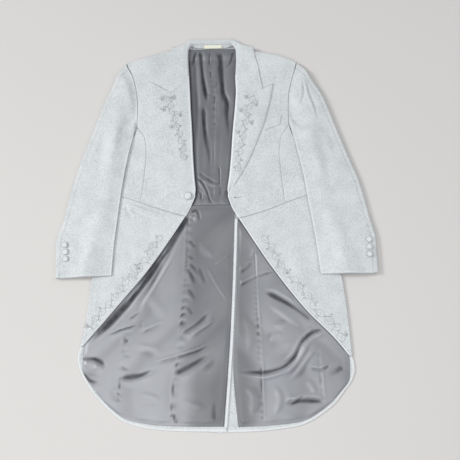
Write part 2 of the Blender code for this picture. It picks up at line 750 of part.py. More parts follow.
def make_lapel(half):
    """Lapel: the leaf on the front, the rounded roll, and its return inside the front."""
    def roll(y):
        return half.front_edge(y) + ROLL_RADIUS

    up = spread(0, 0.08, 0.2, 0.34, 0.48, 0.6, 0.72, 0.82, 0.9, 1)
    gorge_x = np.array([point[0] for point in GORGE[half.name]])
    top_y = half.gorge(roll(395.0))
    top_x = np.array([half.lapel_edge(GORGE[half.name][-1][1]), gorge_x[2], gorge_x[1], roll(top_y)])
    top_x = np.insert(top_x, 3, (top_x[2] + top_x[3]) / 2)
    top = np.stack([top_x, half.gorge(top_x) - SEAM], axis=1)
    share = (top_x[0] - top_x) / (top_x[0] - top_x[-1])
    bottom_x = half.lapel_edge(BREAK_Y) + 6 + (roll(BREAK_Y) - half.lapel_edge(BREAK_Y) - 6) * share
    bottom = np.stack([bottom_x, np.full_like(bottom_x, BREAK_Y)], axis=1)
    outer = along_y(half.lapel_edge, BREAK_Y, top[0, 1], up)
    outer[:, 0] += 6 * (1 - smooth((outer[:, 1] - BREAK_Y) / 40))
    inner = along_y(roll, BREAK_Y, top[-1, 1], up)
    grid = coons(bottom, top, outer, inner)
    rise = LAPEL_REST * smooth((grid[..., 0] - half.front_edge(grid[..., 1])) / 20 - 0.3) + LAPEL
    rise = np.maximum(rise, REST + LAPEL)
    top_z = half.shell(grid[..., 0], grid[..., 1]) + rise
    x, y = grid[:, -1, 0], grid[:, -1, 1]
    low = top_z[:, -1] - 2 * ROLL_RADIUS
    turn = half_turn(x, y, top_z[:, -1], low, TURN, (-1.0, 0.0))
    back_x = x[:, None] + spread(0, WRAP_RETURN)[None]
    back_y = np.repeat(y[:, None], 2, axis=1)
    back_z = np.repeat(low[:, None], 2, axis=1)
    xs = np.hstack([grid[..., 0], turn[0], back_x])
    ys = np.hstack([grid[..., 1], turn[1], back_y])
    zs = np.hstack([top_z, turn[2], back_z])
    sheet(f"lapel_{half.name}", half.place(xs, ys, zs), LAPEL, "cloth", flip=half is LEFT)


def sleeve_line(half, share, h):
    """A point on the straight line across a sleeve, and the way that line runs."""
    rows = SLEEVE[half.name]
    inner = np.stack([through(column(rows, 1), share), through(column(rows, 2), share)], axis=-1)
    outer = np.stack([through(column(rows, 3), share), through(column(rows, 4), share)], axis=-1)
    length = np.linalg.norm(outer - inner, axis=-1)
    along = (outer - inner) / length[..., None]
    start = 4.0
    end = length - 6.0 - 3.0 * (1 - smooth(share / 0.2))
    point = inner + along * (start + h * (end - start))[..., None]
    return point[..., 0], point[..., 1], along


def sleeve_ring(half, share, h, low_layer):
    """A point of a sleeve: share of its length, h across from the inner fold.

    Near the top the line across bends into the armhole's curve.
    """
    x, y, along = sleeve_line(half, share, h)
    top_x, top_y, _ = sleeve_line(half, np.zeros_like(share), h)
    inner_x, inner_y = SLEEVE[half.name][0][1:3]
    rule = half.back_seam if low_layer else half.panel_seam
    edge = rule(np.clip(top_y, ARMHOLE_TOP_Y, None)) + ARMHOLE_GAP + HEAD_GAP * smooth((h - 0.8) / 0.2)
    tail = inner_x + (edge - inner_x) * smooth((top_y - inner_y) / 36)
    curved = np.where(top_y > ARMHOLE_TOP_Y, edge, tail)
    near = 1 - smooth(share / 0.14)
    return x + near * (curved - top_x), y, along


def sleeve_height(half, share, h, x, y):
    """Height of a sleeve's upper face."""
    loft = through(SLEEVE_LOFT, share)
    loft = loft + CUFF_MOUTH[half.name] * smooth((share - 0.8) / 0.2) * smooth(h / 0.5)
    crown = 0.8 + 0.2 * 4 * h * (1 - h)
    head = HEAD_LOFT * np.exp(-(share / 0.13) ** 2) * smooth(h * 1.2)
    free = half.cover(x, y, 1.0) + loft * crown + head
    sewn = half.shell(x, y)
    return sewn + (free - sewn) * smooth(share / 0.05)


def sleeve_rows():
    return spread(0, 0.02, 0.05, 0.1, 0.17, 0.26, 0.37, 0.49, 0.61, 0.73, 0.84, 0.93, 1)


def sleeve_part(half, rows, hs, low_layer):
    """Straight run of a sleeve layer as x, y, z grids."""
    share = np.repeat(rows[:, None], len(hs), axis=1)
    h = np.repeat(hs[None, :], len(rows), axis=0)
    x, y, along = sleeve_ring(half, share, h, low_layer)
    if low_layer:
        z = half.cover(x, y, 0.0)
    else:
        z = sleeve_height(half, share, h, x, y)
    return x, y, z, along


def sleeve_turn(top, low, inwards):
    """Carry a sleeve's upper face round one of its folds to its under face."""
    angle = np.radians(TURN)[None, :]
    column_index = 0
    tx, ty, tz = (part[:, column_index] for part in top[:3])
    bx, by, bz = (part[:, column_index] for part in low[:3])
    along = top[3][:, column_index]
    blend = (1 - np.cos(angle)) / 2
    reach = np.minimum((tz - bz) / 2, RIDGE_WIDEST)[:, None] * np.sin(angle)
    sign = -1.0 if inwards else 1.0
    x = tx[:, None] * (1 - blend) + bx[:, None] * blend + sign * along[:, :1] * reach
    y = ty[:, None] * (1 - blend) + by[:, None] * blend + sign * along[:, 1:] * reach
    z = tz[:, None] * (1 - blend) + bz[:, None] * blend
    return x, y, z


def make_sleeve(half):
    """Two-piece sleeve laid flat: upper and under, each round one fold."""
    rows = sleeve_rows()
    gap = SLEEVE_SEAM / SLEEVE_LENGTH_SCALE
    upper_h = spread(HINDARM - gap, HINDARM - 0.025, 0.72, 0.48, 0.24, 0)
    top = sleeve_part(half, rows, upper_h, False)
    inner_top = sleeve_part(half, rows, spread(0), False)
    inner_low = sleeve_part(half, rows, spread(0), True)
    inner_turn = sleeve_turn(inner_top, inner_low, True)
    return_low = sleeve_part(half, rows, spread(0, FOREARM - 0.03, FOREARM - gap), True)
    xs, ys, zs = (np.hstack([top[k], inner_turn[k], return_low[k]]) for k in range(3))
    sheet(f"sleeve_upper_{half.name}", half.place(xs, ys, zs), CLOTH, "cloth", flip=half is RIGHT)

    under_h = spread(FOREARM + gap, FOREARM + 0.03, 0.2, 0.3, 0.55, 0.8, 1)
    low = sleeve_part(half, rows, under_h, True)
    outer_top = sleeve_part(half, rows, spread(1), False)
    outer_low = sleeve_part(half, rows, spread(1), True)
    outer_turn = sleeve_turn(outer_top, outer_low, False)
    outer_turn = tuple(part[:, ::-1] for part in outer_turn)
    back_top = sleeve_part(half, rows, spread(1, HINDARM + 0.025, HINDARM + gap), False)
    xs, ys, zs = (np.hstack([low[k], outer_turn[k], back_top[k]]) for k in range(3))
    sheet(f"sleeve_under_{half.name}", half.place(xs, ys, zs), CLOTH, "cloth", flip=half is RIGHT)


def leaf_drop(distance, reach, roll_z):
    """How far out a point of the leaf lies, and its share of the turn down behind the shoulder."""
    run = max(reach - LEAF_DROP, 0.0)
    if distance <= run or reach > 100.0:
        return distance, 0.0
    turn_length = math.pi / 2 * (LEAF_DROP + roll_z / 2)
    turn = min((distance - run) / turn_length, 1.0)
    if turn < 1.0:
        return run + min(LEAF_DROP, reach) * math.sin(math.pi * turn), turn
    return run - (distance - run - turn_length), turn


def collar_section(half, station, leaf_shares):
    """One cross-section of the collar: the leaf from its edge to the roll, then the stand."""
    roll_x, roll_y, roll_z, angle, reach, leaf, stand = (
        float(through(column(COLLAR, index), station)) for index in range(1, 8))
    direction = np.array([-math.cos(math.radians(angle)), math.sin(math.radians(angle))])
    tucked_z = float(half.shell(roll_x + ROLL_RADIUS, roll_y)) + REST + LAPEL
    roll_z = tucked_z + (roll_z - tucked_z) * float(smooth(stand / 0.4))
    points = []
    for share in leaf_shares:
        out, turn = leaf_drop(ROLL_RADIUS + share * (leaf - ROLL_RADIUS), reach, roll_z)
        x, y = np.array([roll_x, roll_y]) + direction * out
        if station < COLLAR_STATIONS[1]:
            gorge = half.gorge(x) + SEAM - half.gorge(roll_x)
            y = y + gorge * (1 - station / COLLAR_STATIONS[1])
        on_body = float(half.shell(x, y)) + LAPEL_REST + LAPEL
        top = roll_z + (on_body - roll_z) * float(smooth((out - ROLL_RADIUS) / 10.0))
        if stand > 0.02 and turn > 0.0:
            top = min(top, roll_z)
        points.append((x, y, top * (1 + math.cos(math.pi * turn)) / 2))
    return points + stand_profile(roll_x, roll_y, roll_z, direction, stand)


def stand_profile(roll_x, roll_y, roll_z, direction, stand):
    """The roll and the stand, from the leaf's side round to the stand's lower edge."""
    radius = ROLL_RADIUS
    tucked = [(radius - radius * math.sin(math.radians(a)),
               roll_z - radius + radius * math.cos(math.radians(a))) for a in (45, 90, 135, 180)]
    tucked.append((radius + WRAP_RETURN * 0.55, roll_z - 2 * radius))
    tucked.append((radius + WRAP_RETURN, roll_z - 2 * radius))
    points = []
    for (out_a, z_a), (out_b, drop_b) in zip(tucked, STANDING):
        out = out_a * (1 - stand) + out_b * stand
        z = z_a * (1 - stand) + (roll_z - drop_b) * stand
        points.append((roll_x + direction[0] * out, roll_y + direction[1] * out, z))
    return points


def make_collar():
    """Collar: leaf on both fronts, over the shoulders and behind the neck, stand inside."""
    leaf_shares = spread(1, 0.85, 0.7, 0.55, 0.4, 0.28, 0.16, 0.05)
    sections = []
    for half in HALVES:
        side_sections = []
        for station in COLLAR_STATIONS:
            section = collar_section(half, station, leaf_shares)
            side_sections.append([(half.sign * x, y, z) for x, y, z in section])
        sections.append(side_sections)
    middle = [[(0.0, y, z) for _, y, z in collar_section(RIGHT, 1.0, leaf_shares)]]
    grid = np.array(sections[0] + middle + sections[1][::-1]) * MM
    sheet("collar", grid, LAPEL, "cloth")


def folds_at(x, y, folds):
    """Height added by a list of soft ridges, each fading at both ends."""
    height = np.zeros_like(x)
    for x0, y0, x1, y1, width, rise in folds:
        span = np.array([x1 - x0, y1 - y0])
        length = np.linalg.norm(span)
        along = ((x - x0) * span[0] + (y - y0) * span[1]) / length
        aside = ((y - y0) * span[0] - (x - x0) * span[1]) / length
        taper = smooth(along / (0.3 * length)) * smooth((length - along) / (0.3 * length))
        height = height + rise * np.exp(-((aside / width) ** 2)) * taper
    return height


def make_lining_back():
    """Lining of the upper back, seen in the neck opening, with its long folds."""
    middle = spread(60, 90, 125, 160, 200, 240, 280, 320, 360, 400, 435, 462)
    levels = np.concatenate([[LINING_WAIST_Y + SEAM / 2], middle, [LINING_TOP_Y]])
    across = np.linspace(-1, 1, 15)
    y = np.repeat(levels[:, None], len(across), axis=1)
    a = np.repeat(across[None, :], len(levels), axis=0)
    neck = smooth((y - 440) / 40)
    right = RIGHT.front_edge(y) + LINING_TUCK - 20.0 * neck
    left = LEFT.front_edge(y) + LINING_TUCK - 20.0 * neck
    x = np.where(a < 0, a * right, a * left)
    edge = np.where(x < 0, RIGHT.front_edge(y), LEFT.front_edge(y))
    window = smooth((edge - 6 - np.abs(x)) / 14) * smooth((478 - y) / 30) * smooth((y - 32) / 20)
    base = LEAF_LIFT * smooth((y - LEAF_FOOT_Y) / 16) + CLOTH + LINING_REST + LINING
    z = base + folds_at(x, y, UPPER_FOLDS) * window
    grid = np.stack([x, y, z], axis=-1) * MM
    sheet("lining_back", grid, LINING, "lining")


def make_lining_skirt(half):
    """Lining of one skirt, from the waist to the hem band, with its large folds."""
    def inner_rule(y):
        if half is RIGHT:
            return VENT_FACING - through(VENT_EDGE, y)
        return through(UNDER_FACING, y) + 1.0

    def outer_rule(y):
        opening = np.where(y < half.waist_y, half.cutaway(y), half.front_edge(y))
        return np.minimum(opening + LINING_TUCK, fold_start(half, y) - HEM_BAND + 4)

    up = spread(0, 0.09, 0.2, 0.33, 0.45, 0.56, 0.66, 0.76, 0.85, 0.93, 1)
    across = np.linspace(0, 1, 9)
    foot = half.fold_foot - 14.0
    top_y = LINING_WAIST_Y - SEAM / 2
    corner = np.array(HEM_SIDE[half.name][-1]) + np.array((-0.72, 0.72)) * HEM_BAND
    side_points = [(float(outer_rule(foot)), foot)]
    side_points += [(x - HEM_BAND, y) for x, y in HEM_SIDE[half.name][2:-1]]
    side_points.append(tuple(corner))
    low_share = 0.34
    low_up = up[up < low_share] / low_share
    hem_side = along_points(side_points[::-1], low_up)
    high = up[up >= low_share]
    high_y = foot + (top_y - foot) * (high - high[0]) / (1 - high[0])
    side = np.vstack([hem_side, np.stack([outer_rule(high_y), high_y], axis=1)])
    inner_end = float(inner_rule(np.array(-512.0)))
    foot_points = [(x, y + HEM_BAND) for x, y in HEM_FOOT[half.name][1:] if inner_end + 30 < x < corner[0] - 20]
    foot_points.append((inner_end, float(through(HEM_FOOT[half.name], inner_end)) + HEM_BAND))
    bottom = along_points([tuple(corner)] + foot_points, across)[::-1]
    inner_y = bottom[0, 1] + (top_y - bottom[0, 1]) * up
    inner = np.stack([inner_rule(inner_y), inner_y], axis=1)
    inner[0] = bottom[0]
    top = along_x(lambda x: np.full_like(x, top_y), inner[-1, 0], side[-1, 0], across)
    grid = coons(bottom, top, inner, side)
    x, y = grid[..., 0], grid[..., 1]
    covered = smooth((half.cutaway(y) - 8 - x) / 16) + (1 - smooth((y - half.fold_foot + 10) / 30))
    window = np.clip(covered, 0, 1) * smooth((20 - y) / 25) * smooth((x - inner_rule(y) - 2) / 12)
    hem_y = through(HEM_FOOT[half.name] + HEM_SIDE[half.name][:1], x)
    window = window * smooth((y - hem_y - HEM_BAND) / 18)
    lap = (CLOTH + SEAM) * smooth((120 - x) / 75) * np.clip((46 - y) / 30, 0, 1) if half is RIGHT else 0.0
    z = lap + CLOTH + LINING_REST + LINING + folds_at(x, y, SKIRT_FOLDS[half.name]) * window
    sheet(f"lining_skirt_{half.name}", half.place(x, y, z), LINING, "lining", flip=half is RIGHT)


def make_button(name, x, y, z, radius, height):
    """Cloth-covered button: a domed profile turned round its own axis."""
    profile = [(0.0, height), (radius * 0.55, height * 0.86), (radius * 0.9, height * 0.5),
               (radius, height * 0.2), (radius * 0.9, 0.0), (0.0, 0.0)]
    mesh = bpy.data.meshes.new(name)
    points = [(r * MM, 0.0, level * MM) for r, level in profile]
    mesh.from_pydata(points, [(i, i + 1) for i in range(len(points) - 1)], [])
    thing = add_object(name, mesh, "button")
    turned = thing.modifiers.new("turn", "SCREW")
    turned.axis = "Z"
    turned.steps = 12
    turned.render_steps = 12
    turned.use_merge_vertices = True
    turned.merge_threshold = 0.00005
    turned.use_smooth_shade = True
    thing.location = (x * MM, y * MM, z * MM)
    return thing


def make_buttons():
    """The front button and three buttons at each cuff."""
    x, y, radius, height = FRONT_BUTTON
    make_button("front_button", -x, y, float(RIGHT.shell(x, y)) + REST, radius, height)
    radius, height = CUFF_BUTTON
    for half in HALVES:
        rows = SLEEVE[half.name]
        for number, (x, y) in enumerate(CUFF_BUTTONS[half.name], 1):
            shares = np.linspace(0.7, 1.0, 301)
            inner_y = through(column(rows, 2), shares)
            outer_y = through(column(rows, 4), shares)
            inner_x = through(column(rows, 1), shares)
            outer_x = through(column(rows, 3), shares)
            across = (x - inner_x) / (outer_x - inner_x)
            level = inner_y + (outer_y - inner_y) * across
            best = int(np.argmin(np.abs(level - y)))
            share = float(shares[best])
            h = float(np.clip((x - inner_x[best] - 4) / (outer_x[best] - inner_x[best] - 10), 0, 1))
            z = float(sleeve_height(half, np.array(share), np.array(h), np.array(x), np.array(y)))
            name = f"cuff_button_{half.name}_{number}"
            make_button(name, half.sign * x, y, z + LINING_REST, radius, height)


def make_welt():
    """Slanted chest welt on the wearer's left front, made from the front's own face, moved out."""
    low_in, low_out, high_in, high_out = (np.array(corner) for corner in WELT)
    a = np.linspace(0, 1, 4)[None, :, None]
    b = np.linspace(0, 1, 3)[:, None, None]
    plan = (1 - b) * ((1 - a) * low_in + a * low_out) + b * ((1 - a) * high_in + a * high_out)
    z = LEFT.shell(plan[..., 0], plan[..., 1]) + REST + WELT_WALL
    sheet("chest_welt", LEFT.place(plan[..., 0], plan[..., 1], z), WELT_WALL, "cloth")


def make_label():
    """Blank label on the standing neck, inside the back."""
    half_width, low, high, wall = LABEL
    points = np.array([(y, z) for _, y, z in collar_section(RIGHT, 1.0, [])])
    run = np.concatenate([[0.0], np.cumsum(np.linalg.norm(np.diff(points, axis=0), axis=1))])
    shares = run[-1] * spread(high, (low + high) / 2, low)
    y = np.interp(shares, run, points[:, 0])
    z = np.interp(shares, run, points[:, 1])
    slope = np.array([points[-1, 0] - points[2, 0], points[-1, 1] - points[2, 1]])
    normal = np.array([slope[1], -slope[0]]) / np.linalg.norm(slope)
    y = y + normal[0] * (wall + SEAM)
    z = z + normal[1] * (wall + SEAM)
    xs = LABEL_X + half_width * spread(-1, 0, 1)
    grid = np.stack([np.repeat(xs[None], 3, axis=0), np.repeat(y[:, None], 3, axis=1),
                     np.repeat(z[:, None], 3, axis=1)], axis=-1) * MM
    sheet("neck_label", grid, wall, "label")


def build():
    """Make every piece of the coat."""
    for half in HALVES:
        make_back(half)
        make_side(half)
        make_front(half)
        make_skirt(half)
        make_lapel(half)
        make_sleeve(half)
        make_lining_skirt(half)
    make_lining_back()
    make_collar()
    make_buttons()
    make_welt()
    make_label()


build()
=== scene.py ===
# %% [markdown]
# # A cutaway morning coat, laid open on its back
#
# The coat is pale silver-grey cloth with peaked lapels, scrolls of corded embroidery in its own colour, covered
# buttons, a grey satin lining and a centre vent. It lies flat, so nearly all of it is thin sheets that rest on each
# other. Its folds could come from a cloth simulation, but these are shallow and each has its place, so every sheet
# is a formula on a grid and every fold is listed one by one.

import functools
import math

import bpy
import numpy as np
from mathutils import Matrix, Vector


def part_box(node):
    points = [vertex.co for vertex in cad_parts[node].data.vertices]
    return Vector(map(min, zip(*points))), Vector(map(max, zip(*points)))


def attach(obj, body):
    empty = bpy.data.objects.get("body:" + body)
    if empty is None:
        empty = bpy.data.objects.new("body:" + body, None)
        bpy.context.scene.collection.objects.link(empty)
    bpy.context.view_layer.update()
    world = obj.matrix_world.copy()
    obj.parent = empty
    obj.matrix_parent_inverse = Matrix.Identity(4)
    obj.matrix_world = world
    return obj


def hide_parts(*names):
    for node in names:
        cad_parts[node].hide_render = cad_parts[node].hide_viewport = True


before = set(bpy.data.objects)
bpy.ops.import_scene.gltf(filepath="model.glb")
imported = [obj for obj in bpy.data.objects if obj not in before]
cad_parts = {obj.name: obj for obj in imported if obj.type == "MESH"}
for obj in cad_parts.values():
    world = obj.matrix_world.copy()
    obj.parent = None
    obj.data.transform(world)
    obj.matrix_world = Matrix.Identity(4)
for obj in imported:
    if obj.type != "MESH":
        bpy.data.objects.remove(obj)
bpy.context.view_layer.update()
MM = 0.001

# %% [markdown]
# ## Camera
# The coat is seen from above its hem, thirteen degrees off the vertical. The camera comes first, because every
# later choice is judged through it. Its axes are worked out from the tilt and a small roll.

# %% Camera
tilt, roll_angle, distance = math.radians(13.0), math.radians(1.07), 1.242
aim = Vector((0.0355, -0.0272, 0.0))
towards = Vector((0.0, -math.sin(tilt), math.cos(tilt)))
level = Vector((1.0, 0.0, 0.0))
upright = towards.cross(level)
across_axis = level * math.cos(roll_angle) - upright * math.sin(roll_angle)
up_axis = level * math.sin(roll_angle) + upright * math.cos(roll_angle)
camera_data = bpy.data.cameras.new("camera")
camera_data.sensor_width, camera_data.lens = 36.0, 37.57
camera = bpy.data.objects.new("camera", camera_data)
bpy.context.scene.collection.objects.link(camera)
camera.matrix_world = Matrix.Translation(aim + towards * distance) @ Matrix(
    (across_axis, up_axis, towards)).transposed().to_4x4()
bpy.context.scene.camera = camera
print("camera at", tuple(round(v, 3) for v in camera.matrix_world.translation))

# %% [markdown]
# ## The coat's own sizes
# A cutter works from a table of widths at heights, and so does this file. The numbers are in millimetres, with x
# measured outwards from the centre back and y from the waist. They are the same as in the solid model, so each
# sheet lands where its solid is.

# %% Walls, gaps and main sizes
CLOTH, LINING, LAPEL = 1.6, 1.2, 2.4
SEAM, REST, LINING_REST, LAPEL_REST = 0.3, 0.4, 0.6, 1.0
ARMHOLE_GAP, HEAD_GAP, SLEEVE_SEAM = 0.6, 1.4, 0.12
BOX_CENTRE = (5.5, -8.8)
HEM_BAND, WRAP_RETURN, BREAK_Y = 12.0, 12.0, 70.0
LINING_WAIST_Y, LINING_TOP_Y, LINING_TUCK = 31.0, 486.0, 24.0
VENT_TOP_Y, LAP_RAMP, LAP_FULL, VENT_FACING, HEM_Y = 0.0, 30.0, 3.0, 8.0, -518.0
LEAF_LIFT, LEAF_FOOT_Y, LEAF_SIDE_X, LEAF_DROP = 3.2, 448.0, 134.0, 7.0
ROLL_RADIUS = (CLOTH + 2 * REST + 2 * LAPEL) / 2
SEAM_INSIDE_ROLL, RIDGE_WIDEST, NECK_IN_X, NECK_POINT_X, NECK_Y = 0.9, 9.0, 66.0, 74.0, 489.0
PANEL_FOOT_X, FOLD_WAIST_Y, FOLD_ARMHOLE_Y = 190.0, 60.0, 198.0
ARMHOLE_IN_X, PANEL_TOP_Y, BACK_SEAM_TOP_Y, GORGE_Y = 205.0, 256.0, 240.0, 395.0
BAND_WALL, WELT_WALL, LABEL_WALL, CORD_LIFT = 0.3, 0.8, 0.5, 0.25
ARMHOLE_TOP_Y, ARMHOLE_FOOT_Y, SLEEVE_WIDTH, CUFF_SCALE = 258.0, 222.0, 150.0, 560.0
HEAD_LOFT, HEAD_LEAN, HINDARM, FOREARM = 7.0, 0.1, 0.945, 0.10
CUFF_MOUTH = {"right": 0.0, "left": 3.0}
print("roll radius", ROLL_RADIUS)

# %% Tables of the front layer
RISES = ((5, 135, 255, 65, 110), (12.5, 195, 440, 80, 70), (5, 80, 500, 45, 45))
LEVEL = ((-400, 5.8), (-330, 6), (-100, 6.6), (30, 7.6), (80, 8.2), (520, 8.4))
UPPER = {  # y, front edge, panel seam and armhole, lapel edge
    "right": (
        (0, 73, 196, 40), (30, 58, 193, 45), (65, 46.5, 188, 52), (110, 50, 183, 79), (180, 54, 178.5, 117),
        (224, 55.5, 185, 131), (256, 57, 205, 140), (320, 60.5, 204.5, 156), (350, 61.5, 208, 166), (383, 63, 214, 171),
        (405, 64, 221, 172), (434, 66, 235, 173), (500, 68, 250, 174)),
    "left": (
        (-6, 64, 189, 36), (26, 46, 185, 38), (65, 36, 183, 41), (113, 42, 179, 73), (172, 48, 176, 104),
        (218, 51.5, 184, 123), (254, 55, 205, 137), (300, 60, 206, 151), (341, 63.5, 209, 161), (372, 66, 216, 166),
        (390, 67, 221, 167), (428, 69, 232, 168), (500, 71, 248, 170)),
}
LENGTH = {  # y, side fold, side-back seam
    "right": (
        (-530, 340, 107), (-490, 338, 106), (-330, 331, 90), (-256, 319, 84), (-151, 309, 73), (-60, 286, 67),
        (31, 262, 70), (60, 257, 80), (120, 248, 110), (180, 243, 150), (205, 241, 172), (240, 239, 213),
        (300, 238, 215), (350, 238, 219), (400, 238, 226), (434, 238, 235)),
    "left": (
        (-530, 340, 117), (-490, 338, 116), (-362, 333, 114), (-256, 329, 108), (-156, 320, 103), (-60, 292, 97),
        (31, 262, 94), (60, 256, 98), (120, 247, 119), (180, 243, 152), (205, 241, 173), (240, 238, 212),
        (300, 236, 213), (350, 235, 216), (400, 234, 223), (428, 233, 232)),
}
print("front rows", len(UPPER["right"]), "length rows", len(LENGTH["right"]))

# %% Tables of the seams and edges
FRONT_WAIST = {
    "right": ((66, 0), (89, 5), (166, 31), (200, 44), (242, 58), (270, 66)),
    "left": ((56, -7), (80, -3), (120, 8), (159, 21), (183, 31), (270, 60)),
}
BACK_WAIST = {
    "right": ((60, 31), (160, 46), (270, 66)),
    "left": ((80, 31), (160, 42), (270, 60)),
}
ARMHOLE_BOTTOM = ((204, 257), (208, 236), (213, 221), (225, 207), (242, 198))
BACK_ARMHOLE_BOTTOM = ((212, 240), (225, 209), (242, 198))
SHOULDER = {
    "right": ((62, 500), (81, 492.5), (112, 483.5), (130, 479.5), (173, 464), (245, 440)),
    "left": ((62, 500), (85, 488.5), (112, 476.5), (130, 473.5), (176, 462), (245, 433)),
}
CUTAWAY = {
    "right": ((-322, 324), (-226, 242), (-140, 170), (-65, 117), (2, 73)),
    "left": ((-356, 326), (-313, 292), (-248, 230), (-139, 148), (-6, 64)),
}
HEM_SIDE = {
    "right": ((333, -334), (335.5, -350), (330, -374), (312, -408), (290, -436)),
    "left": ((335, -366), (337, -386), (329, -410), (307, -438), (282, -466)),
}
HEM_FOOT = {
    "right": ((290, -436), (261, -465), (217, -498), (187, -508), (142, -516.5), (86, -521), (-26, -524)),
    "left": ((282, -466), (249, -489), (223, -504), (194, -514), (148, -520), (103, -524), (0, -526)),
}
VENT_EDGE = ((-525, 25), (-309, 44), (-109, 56), (-4, 61))
UNDER_FACING = ((-525, 52), (-384, 42), (-300, 46.5), (-109, 57.5), (31, 63))
GORGE = {
    "right": ((62, 401), (111, 349), (140, 366), (172, 384)),
    "left": ((66, 394), (105, 345), (137, 357), (167, 371)),
}
print("cutaway points", CUTAWAY["right"][0], "to", CUTAWAY["right"][-1])

# %% Tables of the sleeves and the collar
SLEEVE = {  # share of the length, inner edge x and y, outer edge x and y
    "right": (
        (0, 213, 222, 236, 443), (0.04, 214, 217, 253, 424), (0.1, 216, 208, 268, 388), (0.2, 221, 185, 294, 325),
        (0.35, 229, 140, 326, 232), (0.5, 236, 92, 354, 149), (0.65, 242, 40, 374, 72), (0.8, 248, -20, 390, -5),
        (0.9, 253, -75, 405, -70), (1, 257, -150, 402, -155)),
    "left": (
        (0, 213, 224, 233, 437), (0.04, 214, 219, 254, 418), (0.1, 217, 208, 272, 385), (0.2, 222, 180, 300, 337),
        (0.35, 231, 134, 333, 240), (0.5, 238, 86, 363, 150), (0.65, 244, 34, 385, 85), (0.8, 251, -18, 403, -5),
        (0.9, 258, -75, 414.5, -70), (1, 265, -156, 412, -156)),
}
SLEEVE_LOFT = ((0, 12), (0.06, 16.5), (0.16, 17), (0.35, 15.5), (0.7, 13.5), (0.9, 13), (1, 13))
COLLAR = (  # station, roll x, y and z, outward angle, reach, leaf, share of standing neck
    (0, 64, 400, 11.3, 180, 200, 74, 0), (0.12, 65.6, 428, 11.6, 180, 200, 61, 0),
    (0.26, 66.7, 455, 12.4, 172, 120, 52, 0), (0.4, 66.8, 475, 14, 150, 36, 50, 0.1),
    (0.55, 63, 490, 16, 127, 17, 48, 0.45), (0.7, 54, 499, 17.5, 106, 10, 46, 0.85),
    (0.84, 34, 499.5, 18, 95, 7, 46, 1), (1, 0, 498.5, 18, 90, 6, 46, 1))
STANDING = ((0, 0.6), (-2.6, 2.2), (-4.6, 4.6), (-6.4, 7), (-8.4, 9.4), (-10.4, 11.6))
NECK_RISE = 7.0
print("sleeve rows", len(SLEEVE["right"]), "collar stations", len(COLLAR))

# %% [markdown]
# ## Curves and patches
# A table becomes a smooth line by a monotone cubic, which never swings past its own points, as a cutter's curve
# doesn't. Four such lines make a Coons patch: two straight blends, less the blend that both share.

# %% Lines through tables
def through(points, at):
    """Monotone cubic through (x, y) rows, held level past both ends."""
    rows = np.array(sorted((row[0], row[1]) for row in points), float)
    xs, ys = rows[:, 0], rows[:, 1]
    at = np.clip(np.asarray(at, float), xs[0], xs[-1])
    step = np.diff(xs)
    slope = np.diff(ys) / step
    tangent = np.zeros_like(ys)
    tangent[0], tangent[-1] = slope[0], slope[-1]
    turns = slope[:-1] * slope[1:] <= 0
    before, after = np.where(turns, 1.0, slope[:-1]), np.where(turns, 1.0, slope[1:])
    first, second = 2 * step[1:] + step[:-1], step[1:] + 2 * step[:-1]
    tangent[1:-1] = np.where(turns, 0.0, (first + second) / (first / before + second / after))
    cell = np.clip(np.searchsorted(xs, at, side="right") - 1, 0, len(step) - 1)
    t = (at - xs[cell]) / step[cell]
    start = (2 * t**3 - 3 * t**2 + 1) * ys[cell] + (t**3 - 2 * t**2 + t) * step[cell] * tangent[cell]
    return start + (3 * t**2 - 2 * t**3) * ys[cell + 1] + (t**3 - t**2) * step[cell] * tangent[cell + 1]


def column(rows, index):
    """A table's first column with one other, as (x, y) rows."""
    return [(row[0], row[index]) for row in rows]


def smooth(value):
    """Soft step: 3v^2 - 2v^3 of the value held between 0 and 1. So smooth((y - 440) / 40) reads as a fade that
    starts at y = 440 mm and takes 40 mm."""
    value = np.clip(value, 0.0, 1.0)
    return value * value * (3 - 2 * value)


def bell(distance, width):
    """exp(-(distance/width)^2): a ridge or groove that is gone two widths away."""
    return np.exp(-(distance / width) ** 2)


def between(low, high, share):
    """Straight blend: low + (high - low) * share."""
    return low + (high - low) * share


def eased(count, crowd=0.7):
    """Shares from 0 to 1 that crowd towards both ends, where a seam needs its detail."""
    t = np.linspace(0, 1, count)
    return t - crowd * np.sin(2 * math.pi * t) / (2 * math.pi)


def run_along(line):
    """Distance along a line of points, from its start."""
    return np.concatenate([[0.0], np.cumsum(np.linalg.norm(np.diff(line, axis=0), axis=1))])


def along_points(points, shares):
    """Points at the given shares of a smooth line through a short list."""
    points = np.array(points, float)
    run = run_along(points)
    return np.stack([through(list(zip(run / run[-1], values)), shares) for values in points.T], axis=1)


print("soft step at a half:", smooth(0.5))

# %% Patches between four lines
def edge_shares(first, second, fallback):
    """How far each point lies along a pair of edges, as a mean share."""
    runs = [run_along(edge) for edge in (first, second)]
    return sum(run / run[-1] if run[-1] > 1.0 else fallback for run in runs) / 2


def coons(bottom, top, left, right):
    """Coons patch: rows blended up, plus columns blended across, less the four corners blended both ways."""
    a = edge_shares(bottom, top, np.linspace(0, 1, len(bottom)))[None, :, None]
    b = edge_shares(left, right, np.linspace(0, 1, len(left)))[:, None, None]
    rows = (1 - b) * bottom[None] + b * top[None]
    columns = (1 - a) * left[:, None] + a * right[:, None]
    corners = (1 - b) * ((1 - a) * bottom[0] + a * bottom[-1]) + b * ((1 - a) * top[0] + a * top[-1])
    return rows + columns - corners


def plan(x, y):
    """Points (x, y) as one array."""
    return np.stack([np.broadcast_to(x, np.shape(y)), y], axis=-1).astype(float)


